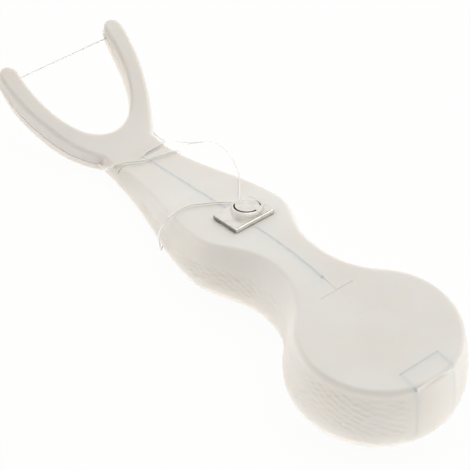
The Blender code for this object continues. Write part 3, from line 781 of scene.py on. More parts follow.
def calculated(tree, operation, *values):
    return node(tree, "ShaderNodeMath", dict(enumerate(values)), operation=operation)


def bumped(tree, height, strength, distance, **inputs):
    """A surface roughened by a height; distance is in metres."""
    return node(tree, "ShaderNodeBump", {"Height": height, "Strength": strength, "Distance": distance, **inputs})


def colour_mix(tree, share, a, b):
    return node(tree, "ShaderNodeMix", {0: share, 6: a, 7: b}, 2, data_type="RGBA")


def shader_mix(tree, share, a, b):
    return node(tree, "ShaderNodeMixShader", {0: share, 1: a, 2: b})


def shade(colour, share=1.0):
    """A colour made darker by a share, with its alpha."""
    return (*(value * share for value in colour), 1.0)


def moulded_polypropylene(tree, plain, worn):
    """Moulded polypropylene: satin, a little translucent, so that its shaded sides turn warm."""
    place = node(tree, "ShaderNodeTexCoord", output="Object")
    # Flow of the melt shows as soft clouds about 20 mm across
    cloudy = ranged(tree, speckle(tree, place, 50.0, 2.0), 0.35, 0.7)
    # Soft unevenness of the cooled skin, about 4 mm across
    skin = speckle(tree, place, 250.0, 2.0)
    # Spark-eroded mould: grains 0.25 mm apart, coarser than the real ones so that they show
    grain = speckle(tree, place, 4000.0, 3.0, Roughness=0.6)
    return node(tree, "ShaderNodeBsdfPrincipled", {
        "Base Color": colour_mix(tree, cloudy, shade(plain), shade(worn)),
        "Roughness": ranged(tree, skin, to_low=0.36, to_high=0.48), "IOR": 1.49,
        "Subsurface Weight": 0.35, "Subsurface Radius": (1.0, 0.62, 0.45), "Subsurface Scale": 0.0022,
        "Normal": bumped(tree, grain, 0.12, 0.00005, Normal=bumped(tree, skin, 0.10, 0.0006)),
    })


def stamped_steel(tree, colour):
    """Stamped stainless sheet: bright, with fine rolling lines drawn long along the handle and painted shade on its
    folded-down sides.
    """
    place = node(tree, "ShaderNodeTexCoord", output="Object")
    # Rolling lines 0.07 mm apart
    stretched = node(tree, "ShaderNodeMapping", {"Vector": place, "Scale": (1500.0, 14000.0, 14000.0)})
    lines = speckle(tree, stretched, 1.0, 2.0)
    # Smudges from handling, about 2 mm across
    smudge = speckle(tree, place, 500.0, 3.0)
    rolled = colour_mix(tree, ranged(tree, smudge, 0.4, 0.75), shade(colour), shade(colour, 0.82))
    # Painted shade: the sides folded down by the press are painted darker, at 0.4 of the steel's colour, as if they
    # were in shade
    across = node(tree, "ShaderNodeSeparateXYZ", {"Vector": place}, "Y")
    out = calculated(tree, "ABSOLUTE", calculated(tree, "SUBTRACT", across, CUTTER_Y))
    painted_side_shade = ranged(tree, out, CUTTER_WIDTH / 2 - 0.00016, CUTTER_WIDTH / 2 - 0.00004)
    # The base colour takes the painted shade on the folded sides; roughness follows only the smudges
    return node(tree, "ShaderNodeBsdfPrincipled", {
        "Base Color": colour_mix(tree, painted_side_shade, rolled, shade(colour, 0.40)),
        "Metallic": 1.0, "Roughness": ranged(tree, smudge, to_low=0.20, to_high=0.42),
        "Normal": bumped(tree, lines, 0.15, 0.00002),
    })


def waxed_filament(tree, colour):
    """Waxed nylon filament: pale, soft and slightly shiny along its strands."""
    # Filaments a tenth of a millimetre apart
    threads = speckle(tree, node(tree, "ShaderNodeTexCoord", output="Object"), 9000.0, 2.0)
    return node(tree, "ShaderNodeBsdfPrincipled", {
        "Base Color": colour_mix(tree, ranged(tree, threads, 0.4, 0.8), shade(colour), shade(colour, 0.86)),
        "Roughness": 0.5, "IOR": 1.53, "Sheen Weight": 0.2, "Sheen Roughness": 0.4,
        "Subsurface Weight": 0.7, "Subsurface Radius": (1.0, 0.9, 0.8), "Subsurface Scale": 0.0005,
        "Normal": bumped(tree, threads, 0.15, 0.00003),
    })


def ray_is(tree, kind):
    return node(tree, "ShaderNodeLightPath", output=f"Is {kind} Ray")


def seen_share(tree):
    """1 for rays from the camera and in gloss or glass, and 0 for the light that the object gets."""
    first = calculated(tree, "MAXIMUM", ray_is(tree, "Camera"), ray_is(tree, "Glossy"))
    return calculated(tree, "MAXIMUM", first, ray_is(tree, "Transmission"))


def studio_floor(tree, colour):
    """Frosted pale floor that keeps a soft shadow, lets the lamp below it through and is seen as nearly white."""
    matt = node(tree, "ShaderNodeBsdfDiffuse", {"Color": shade(colour)})
    glow = node(tree, "ShaderNodeEmission", {"Color": WHITE, "Strength": 1.0})
    both = shader_mix(tree, calculated(tree, "MULTIPLY", seen_share(tree), FLOOR_GLOW), matt, glow)
    clear = node(tree, "ShaderNodeBsdfTransparent", {"Color": WHITE})
    return shader_mix(tree, ray_is(tree, "Shadow"), both, clear)


# The name of each slot's finish, the function that builds it and the colours that it takes from the panel
FINISHES = {
    "white_plastic": ("moulded_white_polypropylene", moulded_polypropylene, "plastic", "plastic_worn"),
    "natural_plastic": ("moulded_natural_polypropylene", moulded_polypropylene, "bobbin", "plastic_worn"),
    "bright_steel": ("stamped_stainless_steel", stamped_steel, "steel"),
    "waxed_floss": ("waxed_nylon_filament", waxed_filament, "floss"),
    "floor": ("matt_floor", studio_floor, "floor"),
}


def finish(slot):
    """The finish of a slot, made once."""
    name, build, *colours = FINISHES[slot]
    if name in bpy.data.materials:
        return bpy.data.materials[name]
    panel = bpy.context.scene.holder_colours
    made = bpy.data.materials.new(name)
    made.use_nodes = True
    tree = made.node_tree
    tree.nodes.clear()
    shader = build(tree, *(tuple(getattr(panel, colour)) for colour in colours))
    node(tree, "ShaderNodeOutputMaterial", {"Surface": shader})
    return made


def add_piece(name, shape, body, slot, *nodes):
    """A finished piece from one form."""
    return finish_piece(mesh_object(name, shape), body, slot, *nodes)


def finish_piece(piece, body, slot, *nodes):
    """Shades a piece, paints it and fixes it to its body in place of the solids that it stands for."""
    mesh = piece.data
    mesh.shade_smooth()
    is_floss = slot == "waxed_floss"
    mesh.set_sharp_from_angle(angle=math.radians(FLOSS_SHARP if is_floss else SHARP))
    mesh.materials.clear()
    mesh.materials.append(finish(slot))
    if not is_floss:
        # Large flat faces keep their own shade beside small rounded ones
        even = piece.modifiers.new("even_shade", "WEIGHTED_NORMAL")
        even.keep_sharp = True
        settle(piece)
    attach(piece, body)
    if nodes:
        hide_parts(*nodes)
    return piece


def exit_line(form):
    """Mouth of the pinhole in the top and the way that it leans up out of the drum."""
    return Vector((EXIT_X, 0, form.drum_height)), Vector((EXIT_LEAN, 0, EXIT_DROP))


def cutter_frame(form):
    tilt = Matrix.Rotation(math.atan(form.top_slope), 4, "Y")
    return Matrix.Translation((CUTTER_X, CUTTER_Y, form.top_height(CUTTER_X))) @ tilt


def leg_places():
    side = CUTTER_WIDTH / 2 - CUTTER_SHEET / 2
    return [(x, y) for x in (-CUTTER_LEG_SPREAD / 2, CUTTER_LEG_SPREAD / 2) for y in (-side, side)]


def drum_hollow(form):
    """Hollow of the drum, open below, with the bobbin's post left standing from its roof."""
    roof = form.drum_height - ROOF
    mouth = LID_RADIUS + LID_EDGE_GAP
    return turned([
        (0, -CUT_PAST), (mouth, -CUT_PAST), (mouth, DRUM_FLOOR), (CAVITY_RADIUS, DRUM_FLOOR),
        (CAVITY_RADIUS, roof), (POST_RADIUS, roof), (POST_RADIUS, POST_END + POST_CHAMFER),
        (POST_RADIUS - POST_CHAMFER, POST_END), (0, POST_END),
    ])


def strap_box(form, front):
    """The part of the drum's rear that the strap fills, up to its front end."""
    return beam(-form.drum_radius - 2 * CUT_PAST, front, STRAP_HALF, -CUT_PAST, form.drum_height + CUT_PAST)


def hinge_rod(half, radius, segments):
    return rod((HINGE_X, -half, HINGE_Z), (HINGE_X, half, HINGE_Z), radius, segments)


class HOLDER_OT_handle(bpy.types.Operator):
    """Builds the hollow handle: drum, waist, grip and neck in one moulding"""

    bl_idname = "holder.handle"
    bl_label = "Handle"

    def execute(self, context):
        form = Form(context)
        handle = mesh_object("handle_body", handle_form(form))
        hollow_low = BASE_LOW + BASE_THICKNESS + GAP
        mouth, lean = exit_line(form)
        big_holes = [
            drum_hollow(form),
            plan_body(form, GRIP_WALL, HOLLOW_START, HOLLOW_END, hollow_low - 0.0002,
                      lambda x: form.top_height(x) - ROOF),
            beam(NECK_X - SHANK_LENGTH - GAP, NECK_X + CUT_PAST, SHANK_HALF + GAP, SHANK_LOW - GAP,
                 form.shank_top + GAP),
            hinge_rod(HINGE_HALF + TRUNNION_LENGTH + GAP, TRUNNION_RADIUS + GAP, 24),
            slot_between(NOTCH_FROM, NOTCH_TO, NOTCH_HALF, CHANNEL_DEPTH),
        ]
        openings = [
            strap_box(form, -STRAP_END + SLIT_GAP),
            beam(LID_RADIUS - HINGE_ARM - GAP, HINGE_X + HINGE_RADIUS + GAP + 0.0002, HINGE_HALF + GAP, -CUT_PAST,
                 DRUM_FLOOR),
            plan_body(form, BASE_MARGIN - GAP, BASE_START - GAP, BASE_END + GAP, -CUT_PAST, lambda x: hollow_low),
            along_top(form, EXIT_X, NECK_X + CUT_PAST, GROOVE_HALF, GROOVE_DEPTH, GROOVE_LIP),
            rod(mouth - lean * 1.2, mouth + lean * 0.3, EXIT_RADIUS, 24),
        ]
        marks = [
            beam(BASE_END - CUT_PAST, NECK_X + CUT_PAST, CHANNEL_HALF, -CUT_PAST, CHANNEL_DEPTH),
            swept(trench_section(TEE_WIDTH / 2, TEE_DEPTH, TEE_LIP), [
                Matrix.Translation((TEE_X, y, form.drum_height)) @ Matrix.Rotation(math.pi / 2, 4, "Z")
                for y in (-TEE_HALF, TEE_HALF)
            ]),
            along_top(form, TEE_X, EXIT_X - 2 * EXIT_RADIUS, TEE_WIDTH / 2, TEE_DEPTH, TEE_LIP, 12),
        ]
        for y, radius in ((-STRAP_HALF, SLIT_END_RADIUS), (SLIT_MARK_Y, SLIT_GAP), (STRAP_HALF, SLIT_END_RADIUS)):
            marks.append(rod((-STRAP_END, y, form.drum_height - SLIT_MARK_DEPTH),
                             (-STRAP_END, y, form.drum_height + CUT_PAST), radius, 20))
        for x, y in leg_places():
            marks.append(moved(block(
                (x - CUTTER_LEG_WIDTH / 2 - GAP, y - CUTTER_SHEET / 2, -CUTTER_LEG_LENGTH),
                (x + CUTTER_LEG_WIDTH / 2 + GAP, y + CUTTER_SHEET / 2, CUT_PAST),
            ), cutter_frame(form)))
        for cuts in (big_holes, openings, marks):
            shaped(handle, "DIFFERENCE", *cuts)
        finish_piece(handle, "handle", "white_plastic", "handle_shell")
        return {"FINISHED"}


class HOLDER_OT_cover(bpy.types.Operator):
    """Builds the plate that closes the grip from below"""

    bl_idname = "holder.cover"
    bl_label = "Base cover"

    def execute(self, context):
        form = Form(context)
        plate = plan_body(form, BASE_MARGIN, BASE_START, BASE_END, BASE_LOW,
                          lambda x: BASE_LOW + BASE_THICKNESS, 90, EDGE_ROUND)
        add_piece("grip_base_cover", plate, "handle", "white_plastic", "base_cover")
        return {"FINISHED"}


class HOLDER_OT_lid(bpy.types.Operator):
    """Builds the lid under the drum with its strap and hinge barrel"""

    bl_idname = "holder.lid"
    bl_label = "Lid"

    def execute(self, context):
        form = Form(context)
        top = form.drum_height
        disc = turned(rounded_profile([
            (0, 0), (LID_RADIUS, 0), (LID_RADIUS, LID_THICKNESS), (LID_BOSS, LID_THICKNESS),
            (LID_BOSS, BOBBIN_LOW - GAP), (0, BOBBIN_LOW - GAP),
        ], EDGE_ROUND))
        strap = mesh_object("drum_lid_with_strap", handle_form(form, 0.0006, False, 12))
        shaped(strap, "INTERSECT", strap_box(form, -STRAP_END))
        shaped(strap, "DIFFERENCE", turned([
            (0, LID_THICKNESS), (CAVITY_RADIUS, LID_THICKNESS), (CAVITY_RADIUS, top - ROOF), (0, top - ROOF),
        ]))
        shaped(
            strap, "UNION", disc,
            rounded_block((RIM_BAR_X - RIM_BAR_BACK, -STRAP_HALF + RIM_BAR_ROUND, top - RIM_BAR_DEPTH),
                          (RIM_BAR_X + RIM_BAR_FRONT, STRAP_HALF - RIM_BAR_ROUND, top - RIM_BAR_SUNK), RIM_BAR_ROUND),
            rounded_block((LID_RADIUS - HINGE_ARM, -HINGE_HALF, GAP), (HINGE_X, HINGE_HALF, LID_THICKNESS), 0.0001, 2),
            hinge_rod(HINGE_HALF, HINGE_RADIUS, 32),
            hinge_rod(HINGE_HALF + TRUNNION_LENGTH, TRUNNION_RADIUS, 20),
        )
        finish_piece(strap, "lid", "white_plastic", "drum_lid")
        return {"FINISHED"}


def fork_half(form):
    """Half of the fork's plan: its outer line from the web's corner, its tip, and its inner line from the middle.

    Also gives where on the outer line the web ends and the arm starts.
    """
    corner = Vector((NECK_X + GAP, WEB_HALF))
    outer = even_line([corner, corner + Vector((WEB_LENGTH, 0))], FORK_STEP)
    outer += even_line(form.fork_outer(), FORK_STEP)[1:]
    tip = even_line(form.fork_tip(), FORK_STEP)
    fork_root = form.tip_x - FORK_DEPTH
    web_count = next(i for i, here in enumerate(outer) if here.x > fork_root - WEB_BACK)
    fine = form.fork_inner()
    inner = even_line(fine, distances(fine)[-1] / (len(outer) - web_count - 1))
    return outer, tip[1:-1], inner, web_count


def fork_levels():
    """Levels of the fork's side as (amount drawn in, share of the groove, share of the height)."""
    levels = [(ARM_FOOT_ROUND * (1 - sine), 0.0, ARM_FOOT_SHARE * (1 - cosine)) for sine, cosine in quarter(6)]
    for turn in spread(0.0, math.pi, 10):
        levels.append((0.0, math.sin(turn), ARM_GROOVE_SHARE - ARM_GROOVE_SPREAD * math.cos(turn)))
    for sine, cosine in quarter(8):
        levels.append((ARM_LEAN + ARM_ROUND * (1 - cosine), 0.0, 1 - ARM_ROUND_SHARE * (1 - sine)))
    return levels


def fork_form(form):
    """The fork with its round-edged arms and the groove along their outer side."""
    outer, tip, inner, web_count = fork_half(form)
    half = outer + tip + list(reversed(inner))
    after = Vector((half[-2].x, -half[-2].y))
    ways = inward_ways(half, half[0], after, lambda x: 1 - (x - NECK_X - GAP) / FORK_BLEND, JOINT_ROUND)
    grooved = [smooth(WEB_LENGTH - 0.0004, WEB_LENGTH + 0.0010, along) for along in distances(half)]
    inside = len(outer) + len(tip) + 1
    grooved[inside:] = [0.0] * (len(half) - inside)
    shape = bmesh.new()
    rings = []
    for drawn, deep, share in fork_levels():
        ring = mirrored([
            form.fork_spot(here + way * (drawn + ARM_GROOVE_DEPTH * deep * groove), share)
            for here, way, groove in zip(half, ways, grooved)
        ])
        ring.pop(len(half))
        rings.append(raise_ring(shape, rings[-1], ring) if rings else open_ring(shape, ring))
    strips = []
    for ring in (rings[0], rings[-1]):
        strips += fork_cap(shape, ring, len(outer), len(inner), web_count)
    made = bmesh.ops.subdivide_edges(shape, edges=strips, cuts=CAP_CUTS, use_grid_fill=True)["geom_inner"]
    for point in made:
        if isinstance(point, bmesh.types.BMVert):
            low, high = form.fork_bottom(point.co.x), form.fork_top(point.co.x)
            point.co.z = high if point.co.z > (low + high) / 2 else low
    return shape


def fork_cap(shape, ring, outer_count, inner_count, web_count):
    """Closes one face of the fork with strips across the web and each arm, and gives the edges between them."""
    count = (len(ring) + 1) // 2
    right, left = ring[:count], ring[:-count - 1:-1]
    pairs = [(right[:web_count + 1], left[:web_count + 1])]
    pairs += [(half[web_count:outer_count], half[:-inner_count - 1:-1]) for half in (right, left)]
    strips = []
    for one, other in pairs:
        bmesh.ops.bridge_loops(shape, edges=chain_edges(shape, one) + chain_edges(shape, other))
        strips += [shape.edges.get(pair) for pair in zip(one, other)][1:-1]
    for half in (right, left):
        fill_ring(shape, half[outer_count - 1:count - inner_count + 1])
    gusset = [right[web_count], left[web_count], right[-1]]
    fill_ring(shape, gusset)
    return strips + chain_edges(shape, gusset + gusset[:1])


class HOLDER_OT_fork(bpy.types.Operator):
    """Builds the two-armed fork and the shank that plugs it into the neck"""

    bl_idname = "holder.fork"
    bl_label = "Fork"

    def execute(self, context):
        form = Form(context)
        fork = mesh_object("fork_with_shank", fork_form(form))
        shank = beam(NECK_X - SHANK_LENGTH, NECK_X + WEB_LENGTH / 2, SHANK_HALF, SHANK_LOW, form.shank_top)
        shaped(fork, "UNION", shank)
        finish_piece(fork, "handle", "white_plastic", "fork")
        return {"FINISHED"}


class HOLDER_OT_cutter(bpy.types.Operator):
    """Builds the stamped steel cutter with its folded sides, legs and lifted round tongue"""

    bl_idname = "holder.cutter"
    bl_label = "Cutter"

    def dome(self, placed):
        """The round tongue: a skirt with a lip, and a crowned disc held to it between two curved slits."""
        rim, rise, sheet = DOME_RADIUS, DOME_RISE, CUTTER_SHEET
        lip = rim - LIP_WIDTH
        skirt = turned(rounded_profile([
            (rim, -DOME_SKIRT), (rim - 0.0001, rise - 0.0005), (rim - 0.0003, rise), (lip, rise),
            (lip, rise - 0.0003), (rim - sheet - 0.0001, rise - 0.0005), (rim - sheet, -DOME_SKIRT),
        ], 0.00014), 96)
        edge = lip - SLIT_WIDTH
        disc = turned(rounded_profile([
            (0, rise - 0.00014), (edge, rise - 0.00022), (edge, rise + 0.00010), (edge * 0.6, rise + 0.00022),
            (0, rise + 0.00026),
        ], 0.00010), 96)
        parts = [skirt, moved(disc, Matrix.Translation(DISC_SHIFT))]
        for start, end in DOME_BRIDGES:
            section = [(edge - 0.0003, 0, rise - 0.0002), (lip + 0.0003, 0, rise - 0.0002),
                       (lip + 0.0003, 0, rise - 0.00004), (edge - 0.0003, 0, rise + 0.00004)]
            turns = spread(start, end, round((end - start) / 4))
            parts.append(swept(section, [Matrix.Rotation(math.radians(turn), 4, "Z") for turn in turns]))
        tilt = Matrix.Rotation(math.radians(DOME_TILT), 4, "X")
        return [moved(part, placed @ tilt) for part in parts]

    def execute(self, context):
        form = Form(context)
        half_x, half_y = CUTTER_LENGTH / 2, CUTTER_WIDTH / 2
        sheet, lift = CUTTER_SHEET, CUTTER_LIFT
        placed = cutter_frame(form)
        plate_form = rounded_block((-half_x, -half_y, 0.00006), (half_x, half_y, lift), EDGE_ROUND, 4)
        plate = mesh_object("steel_cutter", moved(plate_form, placed))
        hollow = block((-half_x + sheet, -half_y + sheet, -CUT_PAST), (half_x - sheet, half_y - sheet, lift - sheet))
        window = rod((0, TONGUE_Y, 0.0), (0, TONGUE_Y, lift + CUT_PAST), DOME_RADIUS - sheet, 64)
        crease = block((-half_x + 0.00026, -half_y + 0.0007, lift - 0.00024),
                       (-half_x + 0.00044, half_y - 0.0005, lift + CUT_PAST))
        shaped(plate, "DIFFERENCE", *(moved(cut, placed) for cut in (hollow, window, crease)))
        parts = self.dome(placed @ Matrix.Translation((0, TONGUE_Y, lift)))
        for x, y in leg_places():
            parts.append(moved(rounded_block(
                (x - CUTTER_LEG_WIDTH / 2, y - sheet * 0.4, -CUTTER_LEG_LENGTH + GAP),
                (x + CUTTER_LEG_WIDTH / 2, y + sheet * 0.4, GAP + sheet / 2), 0.00006, 2,
            ), placed))
        shaped(plate, "UNION", *parts)
        finish_piece(plate, "handle", "bright_steel", "cutter_plate")
        return {"FINISHED"}


class HOLDER_OT_bobbin(bpy.types.Operator):
    """Builds the bobbin and the floss wound on it"""

    bl_idname = "holder.bobbin"
    bl_label = "Bobbin"

    def execute(self, context):
        form = Form(context)
        bore = POST_RADIUS + GAP
        low = BOBBIN_LOW
        high = form.drum_height - ROOF - BOBBIN_PLAY
        spool = turned(rounded_profile([
            (bore, low), (BOBBIN_RADIUS, low), (BOBBIN_RADIUS, low + BOBBIN_FLANGE),
            (BOBBIN_HUB, low + BOBBIN_FLANGE), (BOBBIN_HUB, high - BOBBIN_FLANGE),
            (BOBBIN_RADIUS, high - BOBBIN_FLANGE), (BOBBIN_RADIUS, high), (bore, high),
        ], EDGE_ROUND))
        add_piece("bobbin_spool", spool, "bobbin", "natural_plastic", "bobbin")

        inner = BOBBIN_HUB + GAP
        start, end = low + BOBBIN_FLANGE + GAP, high - BOBBIN_FLANGE - GAP
        pitch = form.floss_radius * 2
        rows = int((end - start) / pitch * 8)
        wall = [(WINDING_RADIUS - pitch / 2, z) for z in spread(start, end, rows)]
        winding = turned([(inner, start)] + wall + [(inner, end)], 96)
        for point in winding.verts:
            reach = math.hypot(point.co.x, point.co.y)
            if reach > inner + 0.001:
                turn = math.atan2(point.co.y, point.co.x)
                wave = math.cos(2 * math.pi * (point.co.z - start) / pitch - turn)
                wander = 0.3 * noise.noise(Vector((point.co.x, point.co.y, point.co.z)) * 700)
                more = pitch / 2 * (0.5 + 0.5 * wave) * (1 - abs(wander))
                point.co.x *= 1 + more / reach
                point.co.y *= 1 + more / reach
        add_piece("wound_floss", winding, "bobbin", "waxed_floss", "floss_winding")
        return {"FINISHED"}


def smooth_route(knots, step=FLOSS_STEP):
    """Evenly spaced points on a smooth curve through the knots."""
    knots = [Vector(knot) for knot in knots]
    ends = [knots[0] * 2 - knots[1]] + knots + [knots[-1] * 2 - knots[-2]]
    fine = []
    for a, b, c, d in zip(ends, ends[1:], ends[2:], ends[3:]):
        one, two, three = [max((q - p).length, 1e-9) ** 0.5 for p, q in ((a, b), (b, c), (c, d))]
        leave = ((b - a) / one - (c - a) / (one + two) + (c - b) / two) * two
        arrive = ((c - b) / two - (d - b) / (two + three) + (d - c) / three) * two
        for t in spread(0.0, 1.0, 24)[:-1]:
            fine.append(
                b * (2 * t ** 3 - 3 * t ** 2 + 1) + leave * (t ** 3 - 2 * t ** 2 + t)
                + c * (3 * t ** 2 - 2 * t ** 3) + arrive * (t ** 3 - t ** 2)
            )
    fine.append(knots[-1])
    return even_line(fine, step)


def strand(points, radius, pitch, sides=12, lobes=3):
    """A twisted strand through the points: a section of soft lobes that turns along the way."""
    path = even_line(points, STRAND_STEP)
    rings = []
    up = Vector((0, 0, 1))
    for i, here in enumerate(path):
        along = (path[min(i + 1, len(path) - 1)] - path[max(i - 1, 0)]).normalized()
        up = up - along * up.dot(along)
        if up.length < 1e-4:
            up = along.orthogonal()
        up.normalize()
        side = along.cross(up)
        twist = 2 * math.pi * i * STRAND_STEP / pitch
        end = STRAND_END if i in (0, len(path) - 1) else 1.0
        places = []
        for turn in spread(0.0, 2 * math.pi, sides)[:-1]:
            reach = radius * end * (0.97 + 0.03 * math.cos(lobes * (turn - twist)))
            places.append(here + up * (reach * math.cos(turn)) + side * (reach * math.sin(turn)))
        rings.append(places)
    return closed_stack(rings)


def millimetres(*knots):
    return [Vector(knot) / 1000 for knot in knots]


def groove_route(form):
    """Way of the floss in the groove of the left arm, from the web to just past the tip."""
    line = even_line(form.fork_outer() + form.fork_tip()[1:], ARM_FLOSS_STEP)
    route = []
    for before, here, after in zip(line, line[1:], line[2:] + line[-1:]):
        way = (after - before).normalized()
        place = here + Vector((way.y, -way.x)) * (ARM_GROOVE_DEPTH - form.floss_radius)
        route.append(form.fork_spot(place, ARM_GROOVE_SHARE))
    end = route.pop()
    return route + [Vector((end.x, end.y - 0.0001, end.z)), Vector((end.x, end.y - 0.0011, end.z))]


def floss_routes(form):
    """The one floss in five runs, from the drum to its cut end."""
    mouth, lean = exit_line(form)
    feed = [mouth - lean * share for share in (2.32, 1.75, 0.92, 0.27)]
    feed += [Vector((EXIT_X, 0.0, form.top_height(EXIT_X) - form.floss_radius))]
    for x in spread(EXIT_X + 3 * GAP + EXIT_RADIUS, NECK_X - 0.0008, 12):
        feed.append(Vector((x, 0.0, form.top_height(x) - FEED_SUNK)))
    over_web = millimetres(
        (0, 0, 0.77), (0.8, -0.6, 0.47), (1.15, -3.2, 0.37), (1.3, -5.8, 0.37), (1.7, -7.2, 0.17),
        (2.4, -8.1, -0.63), (3.4, -8.5, -1.33), (4.8, -8.6, -1.83),
    )
    arm = groove_route(form)
    right = [Vector((NECK_X, 0, form.web_top)) + step for step in over_web]
    right += [Vector((p.x, -p.y, p.z)) for p in arm[1:]]
    wrap = millimetres(
        (87.0, 8.6, 3.6), (86.1, 8.4, 4.7), (85.4, 7.4, 5.6), (84.1, 5.4, 6.1), (82.7, 3.8, 6.7), (81.1, 2.3, 7.15),
        (80.3, -1.0, 7.2), (79.3, -3.8, 7.4), (78.8, -5.6, 7.5), (78.7, -7.2, 6.9), (79.3, -8.1, 5.2),
        (80.4, -8.5, 3.5), (81.8, -8.6, 2.1), (83.3, -8.4, 1.1), (85.0, -7.0, 0.34), (86.0, -3.6, 0.3),
        (85.2, -0.6, 0.3), (82.0, 0.2, 0.32), (75.0, 0.3, 0.34), (70.5, 1.4, 0.34), (67.0, 3.6, 0.34),
        (63.6, 6.6, 0.36), (61.8, 9.2, 0.36),
    )
    loop = millimetres(
        (61.35, 9.85, 0.36), (59.9, 12.0, 0.5), (58.1, 13.6, 2.2), (57.6, 13.85, 4.4), (58.2, 13.75, 6.7),
        (57.9, 13.6, 8.8), (57.4, 13.25, 10.9), (57.1, 12.4, 12.3), (57.45, 10.6, 12.4), (57.85, 8.6, 12.3),
        (57.76, 5.84, 12.3), (56.9, 4.2, 12.48), (55.85, 2.76, 12.72), (54.5, 1.0, 13.02), (52.6, -1.0, 13.42),
        (50.9, -2.1, 13.8),
    )
    free = millimetres(
        (50.9, -3.5, 13.8), (52.1, -4.65, 13.53), (55.0, -6.9, 12.9), (58.3, -9.5, 12.2), (61.2, -11.35, 11.0),
        (64.2, -13.0, 9.6), (67.4, -14.6, 8.3), (71.7, -16.46, 6.4), (75.9, -17.9, 4.4), (79.2, -18.64, 2.7),
        (81.2, -18.7, 1.6), (82.9, -18.1, 0.8), (84.2, -16.9, 0.38), (85.6, -15.1, 0.3), (87.9, -12.7, 0.3),
    )
    return (
        smooth_route(feed) + [right[0]],
        smooth_route(right) + smooth_route(list(reversed(arm))) + [wrap[0]],
        smooth_route(wrap) + [loop[0]],
        smooth_route(loop),
        smooth_route(free),
    )


class HOLDER_OT_floss(bpy.types.Operator):
    """Lays the floss: out of the drum, round the fork, over and under the neck, and up to the cutter"""

    bl_idname = "holder.floss"
    bl_label = "Floss"

    def execute(self, context):
        form = Form(context)
        runs = (
            ("floss_in_groove", ["floss_feed"], "taut", "object"),
            ("floss_round_fork", ["floss_right_arm", "floss_span", "floss_left_arm"], "taut", "object"),
            ("floss_round_neck", ["floss_neck_wrap"], "loose", "object"),
            ("floss_side_loop", ["floss_loop"], "loose", "object"),
            ("floss_cut_end", ["floss_free_end"], "loose", "bare"),
        )
        split = millimetres((83.2, -17.9, 0.72), (84.3, -16.5, 0.40), (85.0, -15.2, 0.30), (85.7, -13.2, 0.28))
        split_form = strand(smooth_route(split, 0.0005), form.floss_radius * 0.6, form.strand_pitch, 10, 2)
        split_tip = add_piece("floss_split_tip", split_form, "handle", "waxed_floss")
        for points, (name, nodes, lay, far_end) in zip(floss_routes(form), runs):
            thread = strand(points, form.floss_radius, form.strand_pitch)
            piece = add_piece(name, thread, "handle", "waxed_floss", *nodes)
        return {"FINISHED"}


# Camera, fitted to the photograph's outline: where it stands, which way it looks and how long its lens is
EYE = (-0.17194, 0.17431, 0.28484)
EYE_AZIMUTH = 2.471
EYE_ELEVATION = 0.780
EYE_ROLL = 0.009
SENSOR = 36.0
FOCAL_PIXELS = 1747.7
IMAGE_PIXELS = 470


def camera_turn():
    """The camera's right, up and back lines as a turn."""
    back = Vector((
        math.cos(EYE_ELEVATION) * math.cos(EYE_AZIMUTH), math.cos(EYE_ELEVATION) * math.sin(EYE_AZIMUTH),
        math.sin(EYE_ELEVATION),
    ))
    right = Vector((0, 0, 1)).cross(back).normalized()
    up = back.cross(right)
    rolled_right = right * math.cos(EYE_ROLL) + up * math.sin(EYE_ROLL)
    rolled_up = up * math.cos(EYE_ROLL) - right * math.sin(EYE_ROLL)
    return Matrix((rolled_right, rolled_up, back)).transposed().to_4x4()


def soft_lamp(name, place, aim, size, watts):
    """A large square white lamp that looks at a point."""
    lamp = bpy.data.lights.new(name, "AREA")
    lamp.shape = "SQUARE"
    lamp.size = size
    lamp.energy = watts
    way = Vector(place) - Vector(aim)
    turn = way.to_track_quat("Z", "Y").to_matrix().to_4x4()
    add_object(name, lamp).matrix_world = Matrix.Translation(place) @ turn


# Share of its own glow that the floor shows, light of the tent and its mouth, and the lamps
WHITE = (1.0, 1.0, 1.0, 1.0)
FLOOR_GLOW = 0.95
TENT_LIGHT = 0.95
MOUTH_LIGHT = 0.0
MOUTH_EDGE = 0.35
MOUTH_CORE = 0.90
TENT_MOUTH = (-0.58, 0.70, 0.42)
KEY_PLACE = (DRUM_X + 0.10, -0.15, 0.60)
KEY_SIZE = 0.5
KEY_WATTS = 0.9
TABLE_SIZE = 1.2
TABLE_WATTS = 10.0
FLOOR_SIZE = 3.0


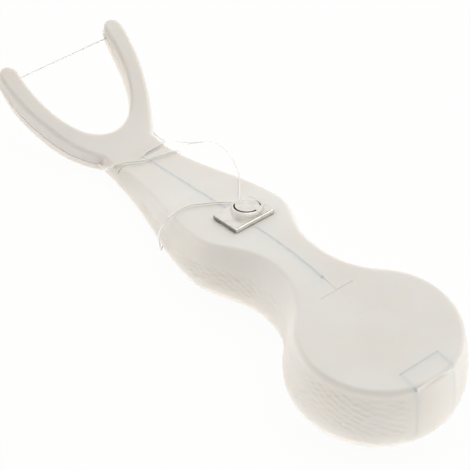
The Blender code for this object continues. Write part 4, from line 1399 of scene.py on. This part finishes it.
class HOLDER_OT_stage(bpy.types.Operator):
    """Sets the pale floor, the soft lights and the camera at the photograph's angle"""

    bl_idname = "holder.stage"
    bl_label = "Stage"

    def execute(self, context):
        scene = context.scene
        shape = bmesh.new()
        bmesh.ops.create_grid(shape, x_segments=2, y_segments=2, size=FLOOR_SIZE / 2)
        mesh = new_mesh("studio_floor", shape)
        mesh.materials.append(finish("floor"))
        add_object("studio_floor", mesh)

        world = bpy.data.worlds.new("studio")
        world.use_nodes = True
        tree = world.node_tree
        tree.nodes.clear()
        # A white tent with a dark mouth on the side that the camera looks in from
        way = node(tree, "ShaderNodeTexCoord", output="Generated")
        facing = node(tree, "ShaderNodeVectorMath", {0: way, 1: TENT_MOUTH}, "Value", operation="DOT_PRODUCT")
        tent = ranged(tree, facing, MOUTH_EDGE, MOUTH_CORE, TENT_LIGHT, MOUTH_LIGHT, interpolation_type="SMOOTHSTEP")
        light, seen = (node(tree, "ShaderNodeBackground", {"Color": WHITE, "Strength": glow}) for glow in (tent, 1.0))
        node(tree, "ShaderNodeOutputWorld", {"Surface": shader_mix(tree, seen_share(tree), light, seen)})
        scene.world = world

        soft_lamp("below_floor", (0, 0, -0.05), (0, 0, 1), TABLE_SIZE, TABLE_WATTS)
        soft_lamp("overhead", KEY_PLACE, (0, 0, 0), KEY_SIZE, KEY_WATTS)
        camera = bpy.data.cameras.new("photograph")
        camera.sensor_width = SENSOR
        camera.sensor_height = SENSOR
        camera.lens = SENSOR * FOCAL_PIXELS / IMAGE_PIXELS
        camera.clip_start = 0.01
        camera.dof.use_dof = False
        eye = scene.camera = add_object("photograph", camera)
        eye.matrix_world = Matrix.Translation(Vector(EYE) + Vector((DRUM_X, 0, 0))) @ camera_turn()
        scene.view_settings.view_transform = "Standard"
        return {"FINISHED"}


class HOLDER_PT_panel(bpy.types.Panel):
    """Sizes, colours and pieces of the floss holder"""

    bl_idname = "HOLDER_PT_panel"
    bl_label = "Floss Holder"
    bl_space_type = "VIEW_3D"
    bl_region_type = "UI"
    bl_category = "Floss Holder"

    def draw(self, context):
        for group in (context.scene.holder_sizes, context.scene.holder_colours):
            box = self.layout.box()
            for name in type(group).__annotations__:
                box.prop(group, name)
        for operator in OPERATORS:
            self.layout.operator(operator.bl_idname)


OPERATORS = (
    HOLDER_OT_floss, HOLDER_OT_handle, HOLDER_OT_cover, HOLDER_OT_lid, HOLDER_OT_fork,
    HOLDER_OT_cutter, HOLDER_OT_bobbin, HOLDER_OT_stage,
)
CLASSES = (HolderSizes, HolderColours, *OPERATORS, HOLDER_PT_panel)


def register():
    for kind in CLASSES:
        bpy.utils.register_class(kind)
    bpy.types.Scene.holder_sizes = PointerProperty(type=HolderSizes)
    bpy.types.Scene.holder_colours = PointerProperty(type=HolderColours)


def unregister():
    del bpy.types.Scene.holder_colours
    del bpy.types.Scene.holder_sizes
    for kind in reversed(CLASSES):
        bpy.utils.unregister_class(kind)


def main():
    register()
    bpy.ops.holder.floss()
    bpy.ops.holder.handle()
    bpy.ops.holder.cover()
    bpy.ops.holder.lid()
    bpy.ops.holder.fork()
    bpy.ops.holder.cutter()
    bpy.ops.holder.bobbin()
    bpy.ops.holder.stage()


if __name__ == "__main__":
    main()
